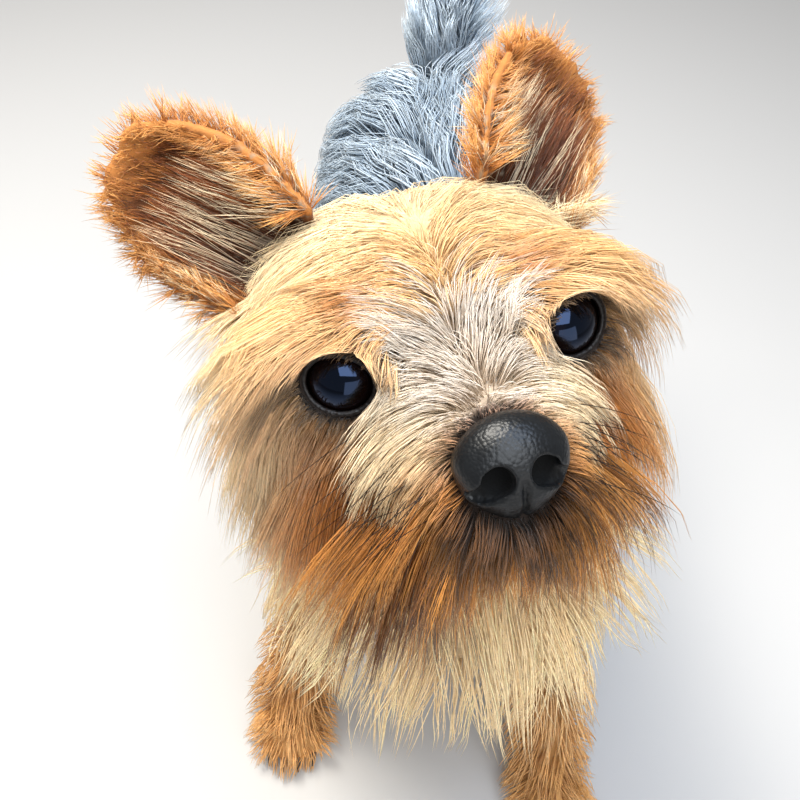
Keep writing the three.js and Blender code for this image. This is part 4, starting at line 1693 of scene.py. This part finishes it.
    def trunk_lie(self, roots: Surface) -> Lie:
        """Parted along the back, down and back over the sides, and straight down on the chest and neck.

        Args:
            roots: places on the neck and trunk.

        Returns:
            The lie at each of them.
        """
        p, n = roots.points, roots.normals
        outward = np.clip(p[:, 0] / 22.0, -1, 1)
        chest = 1.0 - behind_breast(p, -60.0, -30.0)
        rump = step(p[:, 1], 66.0, 90.0)
        back = 0.8 - 0.75 * chest - 0.6 * rump
        way = np.stack([outward * (0.9 - 0.7 * chest), back, -0.5 - chest - rump], axis=1)
        under = step(-n[:, 2], 0.2, 0.9)
        length = (26.0 + 16.0 * chest - 5.0 * rump) * (1 - 0.45 * under)
        droop = (0.5 + 0.5 * chest + 0.5 * rump) * (1 - 0.5 * np.clip(n[:, 2], 0, 1))
        loft = 5.0 + 4.0 * chest
        return Lie(tangent_to(way, n), length, 0.3 + 0.15 * chest, droop, loft, 0.4 * (1 - chest))

    def tail_lie(self, roots: Surface) -> Lie:
        """Up the tail, falling back from it.

        Args:
            roots: places on the tail.

        Returns:
            The lie at each of them.
        """
        n = len(roots.points)
        way = np.broadcast_to([0.0, 0.35, 1.0], (n, 3)) + 0.2 * roots.normals
        length, lift, droop, loft, cling = (np.full(n, value) for value in (18.0, 0.35, 0.5, 4.0, 0.2))
        return Lie(tangent_to(way, roots.normals), length, lift, droop, loft, cling)

    def leg_lie(self, roots: Surface) -> Lie:
        """Down the leg, and forward over the paw.

        Args:
            roots: places on the legs and paws.

        Returns:
            The lie at each of them.
        """
        p, n = roots.points, roots.normals
        low = 1.0 - step(p[:, 2], 10.0, 30.0)
        paw = (self.forms.r[roots.index] == Region.PAW).astype(float)
        way = np.broadcast_to(DOWN, p.shape) + np.stack([0 * low, -0.9 * paw, 0 * low], axis=1)
        upper = (20.0 + 10.0 * step(p[:, 2], 45.0, 80.0)) * (1 - low)
        length = upper + np.minimum(13.0, 4.0 + 0.5 * p[:, 2]) * low
        lift, loft = 0.32 + 0.3 * low, 5.5 - 2.0 * low
        return Lie(tangent_to(way, n), length, lift, 0.3 + 0 * low, loft, 0.2 + 0 * low)

    def curl(self, roots: Surface) -> Array:
        """How much each tuft waves: fully on the back, little on the breast."""
        return 0.2 + 0.8 * behind_breast(roots.points, -52.0, -25.0)

    # Guides and tufts

    def guide(self, roots: Surface) -> Array:
        """Guide hairs, step by step from their roots.

        Args:
            roots: where they start.

        Returns:
            For each guide, its points from the root to the tip.
        """
        lie = self.lie(roots)
        stride = (lie.length / self.steps)[:, None]
        heading = unit(lie.way * np.cos(lie.lift)[:, None] + roots.normals * np.sin(lie.lift)[:, None])
        here = roots.points.copy()
        line = [here.copy()]
        for count in range(1, self.steps + 1):
            t = count / self.steps
            before = here.copy()
            heading = unit(heading + DOWN * (lie.droop / self.steps * (0.5 + t))[:, None])
            here = here + heading * stride
            want = 0.4 + lie.loft * t**0.8
            depth, out, _ = self.forms.nearest(here)
            push = np.maximum(want - depth, 0.0)
            here = clear_of_eyes(here + out * np.minimum(push, stride[:, 0] * 1.2)[:, None])
            here[:, 2] = np.maximum(here[:, 2], 0.8)
            heading = unit(heading + 0.8 * (unit(here - before) - heading))
            excess = np.clip((depth - want) / (want + 3.0), 0.0, 1.0) * lie.cling
            heading = unit(heading - out * excess[:, None])
            line.append(here.copy())
        return np.stack(line, axis=1)

    def neighbours(self, guides: Surface, roots: Surface) -> tuple[Array, Array, Array]:
        """The guides that each tuft follows.

        Args:
            guides: where the guides start.
            roots: where the tufts start.

        Returns:
            Three nearby guides for each tuft, how much each counts, and the one that counts most.
        """
        tree = KDTree(len(guides.points))
        for i, at in enumerate(guides.points):
            tree.insert(at, i)
        tree.balance()
        found = [tree.find_n(at, 3) for at in roots.points]
        nearest = np.array([[hit[1] for hit in hits] for hits in found])
        gaps = np.array([[hit[2] for hit in hits] for hits in found])
        facing = (guides.normals[nearest] * roots.normals[:, None]).sum(-1)
        weights = np.clip(facing, 0.02, 1.0) / (gaps + 0.4) ** 2
        best = nearest[np.arange(len(nearest)), weights.argmax(1)]
        return nearest, weights / weights.sum(1, keepdims=True), best

    def curves(self, plan: CoatPlan, lines: Array, roots: Surface, nearest: Array, weights: Array,
               best: Array) -> Array:
        """Tufts that follow their guides, gather into locks, wave and stray.

        Args:
            plan: the kind of coat.
            lines: the guides.
            roots: where the tufts start.
            nearest: three guides for each tuft.
            weights: how much each of them counts.
            best: the guide whose lock each tuft joins.

        Returns:
            For each tuft, its points from root to tip.
        """
        times = np.linspace(0.0, 1.0, plan.rings + 1) ** 0.92
        at = times * self.steps
        base = np.minimum(at.astype(int), self.steps - 1)
        mix = (at - base)[None, :, None]
        sampled = lines[:, base] * (1 - mix) + lines[:, base + 1] * mix
        relative = sampled - sampled[:, :1]
        shape = (relative[nearest] * weights[:, :, None, None]).sum(1)
        n = len(roots.points)
        length = 1.0 + plan.scatter * self.rng.normal(size=(n, 1, 1)).clip(-2.2, 1.6)
        curve = roots.points[:, None] + shape * length
        pull = plan.clump * (0.55 + 0.45 * self.rng.random((n, 1, 1))) * times[None, :, None] ** 1.3
        curve = curve + (sampled[best] - curve) * pull
        # Each lock waves as one, and each hair strays a little from it
        side = unit(np.cross(shape[:, -1], roots.normals))
        rng = np.random.default_rng(3)
        phase = rng.random(plan.guides)[best] * 2 * math.pi
        bend = rng.normal(size=plan.guides)[best]
        span = np.linalg.norm(shape[:, -1], axis=1)
        swing = np.sin(phase[:, None] + times[None] * (span / plan.wavelength * 2 * math.pi)[:, None])
        swing *= times[None] * plan.wave * self.curl(roots)[:, None]
        curve = curve + side[:, None] * swing[..., None]
        curve = curve + side[:, None] * ((times[None] ** 2) * bend[:, None] * span[:, None] * 0.07)[..., None]
        stray = self.rng.normal(size=(n, 1, 3)) * plan.frizz
        curve = curve + stray * times[None, :, None] ** 1.4
        for ring in range(1, plan.rings + 1):
            depth, out, _ = self.forms.nearest(curve[:, ring])
            curve[:, ring] += out * np.maximum(0.35 + 0.5 * times[ring] - depth, 0.0)[:, None].clip(0.0, 4.0)
            curve[:, ring] = clear_of_eyes(curve[:, ring])
        curve[:, :, 2] = np.maximum(curve[:, :, 2], 0.6)
        curve[:, 0] -= roots.normals * 0.5
        return curve

    def grow(self, plan: CoatPlan, finish: bpy.types.Material, share: float) -> None:
        """Grows one kind of coat as one or more pieces.

        Args:
            plan: the kind of coat.
            finish: its material.
            share: the part of the full number of tufts to make.
        """
        guides = self.roots(plan.regions, plan.guides)
        lines = self.guide(guides)
        roots = self.roots(plan.regions, int(plan.tufts * share))
        n = len(roots.points)
        nearest, weights, best = self.neighbours(guides, roots)
        curve = self.curves(plan, lines, roots, nearest, weights, best)
        tone = np.random.default_rng(8).random(plan.guides)[best]
        draw = np.clip(0.55 * tone + 0.45 * self.rng.random(n), 0, 1)
        root, tip = roots.colours(draw)
        value = (0.86 + 0.28 * self.rng.random((n, 1))) * (0.93 + 0.14 * tone[:, None])
        root, tip = root * value, tip * value
        order = np.argsort(self.sort_key(plan, roots))
        order = order[~astray(curve)[order]]
        for number, some in enumerate(np.array_split(order, plan.pieces)):
            name = plan.name if plan.pieces == 1 else f"{plan.name}_{number + 1}"
            width = plan.width * (0.75 + 0.5 * self.rng.random(len(some)))
            uv = self.unwrap(roots, some)
            piece = tuft_mesh(name, curve[some], width, roots.normals[some], root[some], tip[some], uv)
            piece.data.materials.append(finish)
            register(piece, plan.slot)

    def sort_key(self, plan: CoatPlan, roots: Surface) -> Array:
        """What decides the piece that a tuft goes in, where a coat has several.

        Args:
            plan: the kind of coat.
            roots: where the tufts start.

        Returns:
            A number for each tuft.
        """
        if Region.SKULL in plan.regions or Region.MUZZLE in plan.regions:
            q = HEAD.into(roots.points)
            return np.arctan2(q[:, 0], -q[:, 1] - 10.0)
        return roots.points[:, 1]

    def unwrap(self, roots: Surface, some: Array) -> Array:
        """Unwraps the skin: round and along each part, every part in a strip of its own.

        Args:
            roots: places on the skin.
            some: which of them.

        Returns:
            Each one's place on the unwrap.
        """
        region, index = roots.region()[some], roots.index[some]
        points, spots = roots.points[some], self.forms.p[index]
        centre, axes = self.forms.c[index], self.forms.a[index]
        local = np.einsum("nj,nji->ni", points - centre, axes)
        uv = np.stack([np.arctan2(local[:, 1], local[:, 0]) / (2 * math.pi) + 0.5, spots[:, 0]], axis=1)
        head = np.isin(region, HEAD_REGIONS)
        q = unit(HEAD.into(points) - np.array([0.0, -8.0, -6.0]))
        uv[head, 0] = np.arctan2(q[head, 0], -q[head, 1]) / (2 * math.pi) + 0.5
        uv[head, 1] = q[head, 2] * 0.5 + 0.5
        ear = np.isin(region, EAR_REGIONS)
        inner = np.einsum("ni,ni->n", roots.normals[some], points - centre) > 0
        uv[ear, 0] = 0.25 * (spots[ear, 1] + 1) + 0.5 * inner[ear]
        paw = region == Region.PAW
        uv[paw, 1] = np.clip(points[paw, 2] / 22.0, 0, 1)
        names = np.unique(region)
        strip = np.searchsorted(names, region)
        if head.all():
            low, high = uv.min(0), uv.max(0)
            return 0.01 + 0.97 * (uv - low) / (high - low)
        uv[:, 0] = (strip + 0.03 + 0.94 * uv[:, 0]) / len(names)
        return 0.004 + 0.988 * uv


def tuft_mesh(name: str, curve: Array, width: Array, normals: Array, root: Array, tip: Array,
              uv: Array) -> bpy.types.Object:
    """Closed three-sided tapering tufts as one mesh.

    Args:
        name: the piece's name.
        curve: for each tuft, its points from root to tip, in the dog's frame.
        width: each tuft's width.
        normals: the skin's normal at each root.
        root: colours at the roots.
        tip: colours at the tips.
        uv: each root's place on the skin's unwrap.

    Returns:
        The piece.
    """
    n, k = curve.shape[:2]
    rings = k - 1
    ahead = np.empty_like(curve)
    ahead[:, 1:-1] = curve[:, 2:] - curve[:, :-2]
    ahead[:, 0], ahead[:, -1] = curve[:, 1] - curve[:, 0], curve[:, -1] - curve[:, -2]
    along = unit(ahead)
    across = unit(np.cross(along, normals[:, None] + 1e-4))
    rise = np.cross(across, along)
    shares = np.arange(rings) / rings
    taper = (0.75 + 0.6 * shares) * (1.0 - 0.82 * shares**1.6)
    angles = np.radians([90.0, 210.0, 330.0])
    half = 0.5 * width[:, None, None] * taper[None, :, None]
    corners = curve[:, :rings, None] + (
        across[:, :rings, None] * (np.cos(angles)[None, None] * half)[..., None]
        + rise[:, :rings, None] * (np.sin(angles)[None, None] * half * 0.75)[..., None]
    )
    points = np.concatenate([corners.reshape(n, rings * 3, 3), curve[:, -1:]], axis=1)
    each = rings * 3 + 1
    faces = [(0, 1, 2)]
    for ring in range(rings - 1):
        for side in range(3):
            a, b = ring * 3 + side, ring * 3 + (side + 1) % 3
            faces += [(a, a + 3, b + 3), (a, b + 3, b)]
    for side in range(3):
        faces.append(((rings - 1) * 3 + side, each - 1, (rings - 1) * 3 + (side + 1) % 3))
    template = np.array(faces)
    loops = (template[None] + (np.arange(n) * each)[:, None, None]).reshape(-1)
    mesh = bpy.data.meshes.new(name)
    mesh.vertices.add(n * each)
    mesh.vertices.foreach_set("co", row(points.reshape(-1, 3)).astype(np.float32).ravel())
    mesh.loops.add(len(loops))
    mesh.loops.foreach_set("vertex_index", loops.astype(np.int32))
    mesh.polygons.add(len(loops) // 3)
    mesh.polygons.foreach_set("loop_start", np.arange(0, len(loops), 3, dtype=np.int32))
    mesh.update(calc_edges=True)
    mesh.polygons.foreach_set("use_smooth", np.ones(len(loops) // 3, dtype=bool))
    piece = bpy.data.objects.new(name, mesh)
    bpy.context.scene.collection.objects.link(piece)
    t = np.append(np.repeat(shares, 3), 1.0)
    share = (t**0.8)[None, :, None]
    colour = root[:, None] * (1 - share) + tip[:, None] * share
    # Painted shade: each tuft is darker towards its root, where the coat shades it
    colour *= (0.8 + 0.2 * np.clip(t * 2.5, 0, 1))[None, :, None]
    paint(piece, colour.reshape(-1, 3))
    local = np.stack([np.append(np.tile([0.0, 0.5, 1.0], rings), 0.5), t], axis=1) * 0.003 - 0.0015
    spots = (uv[:, None] + local[None]).reshape(-1, 2)
    layer = mesh.uv_layers.new(name="OFBake")
    layer.data.foreach_set("uv", spots[loops].astype(np.float32).ravel())
    return piece


@dataclass
class Whiskers:
    """Long black hairs of the moustache, beard and brows, each on its own."""

    coat: Coat
    seed: int = 21

    def build(self, finish: bpy.types.Material) -> None:
        """Makes them as one piece.

        Args:
            finish: their material.
        """
        rng = np.random.default_rng(self.seed)
        curves = []
        for side in (1, -1):
            for _ in range(46):
                at = np.array([side * rng.uniform(7, 14), rng.uniform(-44, -26), rng.uniform(-19, -9)])
                away, ahead = side * rng.uniform(0.6, 1.2), rng.uniform(-0.5, 0.5)
                way = unit(np.array([away, ahead, rng.uniform(-0.9, -0.1)]))
                curves.append(self.hair(at, way, rng.uniform(16, 30), rng))
            for _ in range(22):
                at = np.array([side * rng.uniform(26, 31), rng.uniform(-20, -12), rng.uniform(2, 9)])
                way = unit(np.array([side * 1.0, rng.uniform(-0.3, 0.5), rng.uniform(-0.7, 0.0)]))
                curves.append(self.hair(at, way, rng.uniform(10, 19), rng))
        curve = np.array(curves)
        normals = np.broadcast_to(HEAD.turned(np.array([0.0, -0.3, 1.0])), (len(curve), 3))
        colour = np.broadcast_to(MARKINGS.dark, (len(curve), 3))
        uv = 0.02 + 0.96 * rng.random((len(curve), 2))
        piece = tuft_mesh("whiskers", curve, np.full(len(curve), 0.26), normals, colour, colour, uv)
        piece.data.materials.append(finish)
        register(piece, "nose_leather")

    def hair(self, at: Array, way: Array, length: float, rng: np.random.Generator) -> Array:
        """One whisker, drooping to its tip.

        Args:
            at: where it starts, in the head's frame.
            way: how it sets out, in the head's frame.
            length: its length.
            rng: for its random bends.

        Returns:
            Its points in the dog's frame.
        """
        here, heading = HEAD.out(at[None])[0], HEAD.turned(way)
        depth, out, _ = self.coat.forms.nearest(here[None])
        here = here - out[0] * depth[0]
        line = [here]
        for _ in range(7):
            heading = unit(heading + DOWN * rng.uniform(0.05, 0.16))
            here = here + heading * length / 7
            depth, out, _ = self.coat.forms.nearest(here[None])
            here = here + out[0] * max(2.0 - depth[0], 0.0)
            line.append(here)
        return np.array(line)


PLANS = (
    CoatPlan("coat_face", "coat_tan", HEAD_REGIONS, 36000, 1800, 4, 0.215,
             clump=0.42, frizz=0.34, scatter=0.2, pieces=5),
    CoatPlan("coat_ear_left", "ear_tan", (Region.EAR_LEFT,), 5500, 700, 3, 0.21, clump=0.08, frizz=0.85),
    CoatPlan("coat_ear_right", "ear_tan", (Region.EAR_RIGHT,), 5500, 700, 3, 0.21, clump=0.08, frizz=0.85),
    CoatPlan("coat_trunk", "coat_steel_blue", TRUNK_REGIONS, 11000, 480, 5, 0.48,
             clump=0.7, frizz=0.4, wave=2.4, wavelength=17.0, pieces=3),
    CoatPlan("coat_tail", "coat_steel_blue", (Region.TAIL,), 1400, 90, 4, 0.5, frizz=0.9, wave=1.0),
    CoatPlan("coat_front_legs", "coat_cream", FRONT_REGIONS, 3200, 260, 4, 0.55,
             clump=0.6, frizz=0.8, wave=0.5),
    CoatPlan("coat_hind_legs", "coat_cream", HIND_REGIONS, 3200, 260, 4, 0.55,
             clump=0.6, frizz=0.8, wave=0.5),
    CoatPlan("coat_paws", "coat_cream", (Region.PAW,), 2800, 260, 3, 0.42, clump=0.4, frizz=0.6),
)


@dataclass(frozen=True)
class Lamp:
    """A square soft light aimed at the head, with its side in metres and its power in watts."""

    name: str
    at: tuple[float, float, float]
    size: float
    power: float
    colour: tuple[float, float, float]

    def build(self) -> None:
        """Hangs the light."""
        deselect()
        at = np.array(self.at)
        aim = Vector(np.array(HEAD.at) - at)
        bpy.ops.object.light_add(
            type="AREA", location=Vector(row(at)), rotation=aim.to_track_quat("-Z", "Y").to_euler()
        )
        lamp = bpy.context.object
        lamp.name = self.name
        lamp.data.size = self.size
        lamp.data.energy = self.power
        lamp.data.color = self.colour


@dataclass
class Studio:
    """Floor, lights and the camera at the photograph's angle."""

    sensor: float = 36.0
    focal: float = 960.0 / 800.0 * 36.0
    eye_at: tuple[float, float, float] = (-33.0, -205.0, 350.0)
    right: tuple[float, float, float] = (0.99731425, -0.02333834, 0.06942344)
    down: tuple[float, float, float] = (0.02792614, -0.75509466, -0.65502076)
    daylight: tuple[float, float, float, float] = (1.0, 0.98, 0.95, 1.0)
    paper: tuple[float, float, float, float] = (0.5, 0.49, 0.48, 1.0)
    lamps: tuple[Lamp, ...] = (
        Lamp("key", (-250.0, 110.0, 760.0), 0.3, 8.8, (1.0, 0.96, 0.88)),
        Lamp("fill", (40.0, -380.0, 700.0), 0.5, 4.2, (0.9, 0.95, 1.0)),
        Lamp("front", (420.0, -1050.0, 80.0), 1.1, 7.0, (1.0, 0.98, 0.95)),
        Lamp("sky", (110.0, -70.0, 950.0), 0.42, 3.6, (0.55, 0.72, 1.0)),
    )

    def build(self) -> None:
        """Sets up the studio."""
        self.camera()
        self.floor()
        for lamp in self.lamps:
            lamp.build()
        world = bpy.data.worlds.new("studio")
        world.use_nodes = True
        sky = world.node_tree.nodes["Background"]
        sky.inputs["Color"].default_value = self.daylight
        sky.inputs["Strength"].default_value = 0.32
        bpy.context.scene.world = world
        bpy.context.scene.view_settings.view_transform = "Standard"

    def camera(self) -> None:
        """The camera, where the photograph was taken from."""
        deselect()
        right, down = np.array(self.right), np.array(self.down)
        axes = np.stack([right, -down, -np.cross(right, down)], axis=1)
        bpy.ops.object.camera_add(
            location=Vector(row(np.array(self.eye_at))), rotation=Matrix(axes).to_euler()
        )
        camera = bpy.context.object
        camera.name = "camera"
        camera.data.lens = self.focal
        camera.data.sensor_width = self.sensor
        camera.data.clip_start = 0.01
        bpy.context.scene.camera = camera

    def floor(self) -> None:
        """A plain pale floor."""
        deselect()
        bpy.ops.mesh.primitive_plane_add(size=6.0, location=(0.0, 0.0, 0.0))
        floor = active("floor")
        wiring = Wiring("floor_paper", 0.85)
        wiring.put(wiring.shader, {"Base Color": self.paper})
        floor.data.materials.append(wiring.material)
        floor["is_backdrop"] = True


def main() -> None:
    """Builds the dog, part by part, and the studio."""
    logging.basicConfig(level=logging.INFO, format="%(relativeCreated)7d ms  %(message)s", force=True)
    flesh = Flesh()
    maker = Skin(flesh)
    skin, forms = maker.build()
    maker.dress(skin, forms)
    register(skin, "coat_tan", "head", "neck", "torso", "tail", "ear_left", "ear_right",
             "leg_front_left", "leg_front_right", "leg_hind_left", "leg_hind_right")
    EyeSet().build()
    Nose().build()
    Claws(flesh).build()
    finish = Hair().build()
    coat = Coat(skin, forms)
    share = 1.0
    for plan in PLANS:
        coat.grow(plan, finish, share)
    Whiskers(coat).build(finish)
    Studio().build()
    faces = sum(len(piece.data.polygons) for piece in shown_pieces() if piece.type == "MESH")
    log.info("all shown pieces: %d faces", faces)


if __name__ == "__main__":
    main()
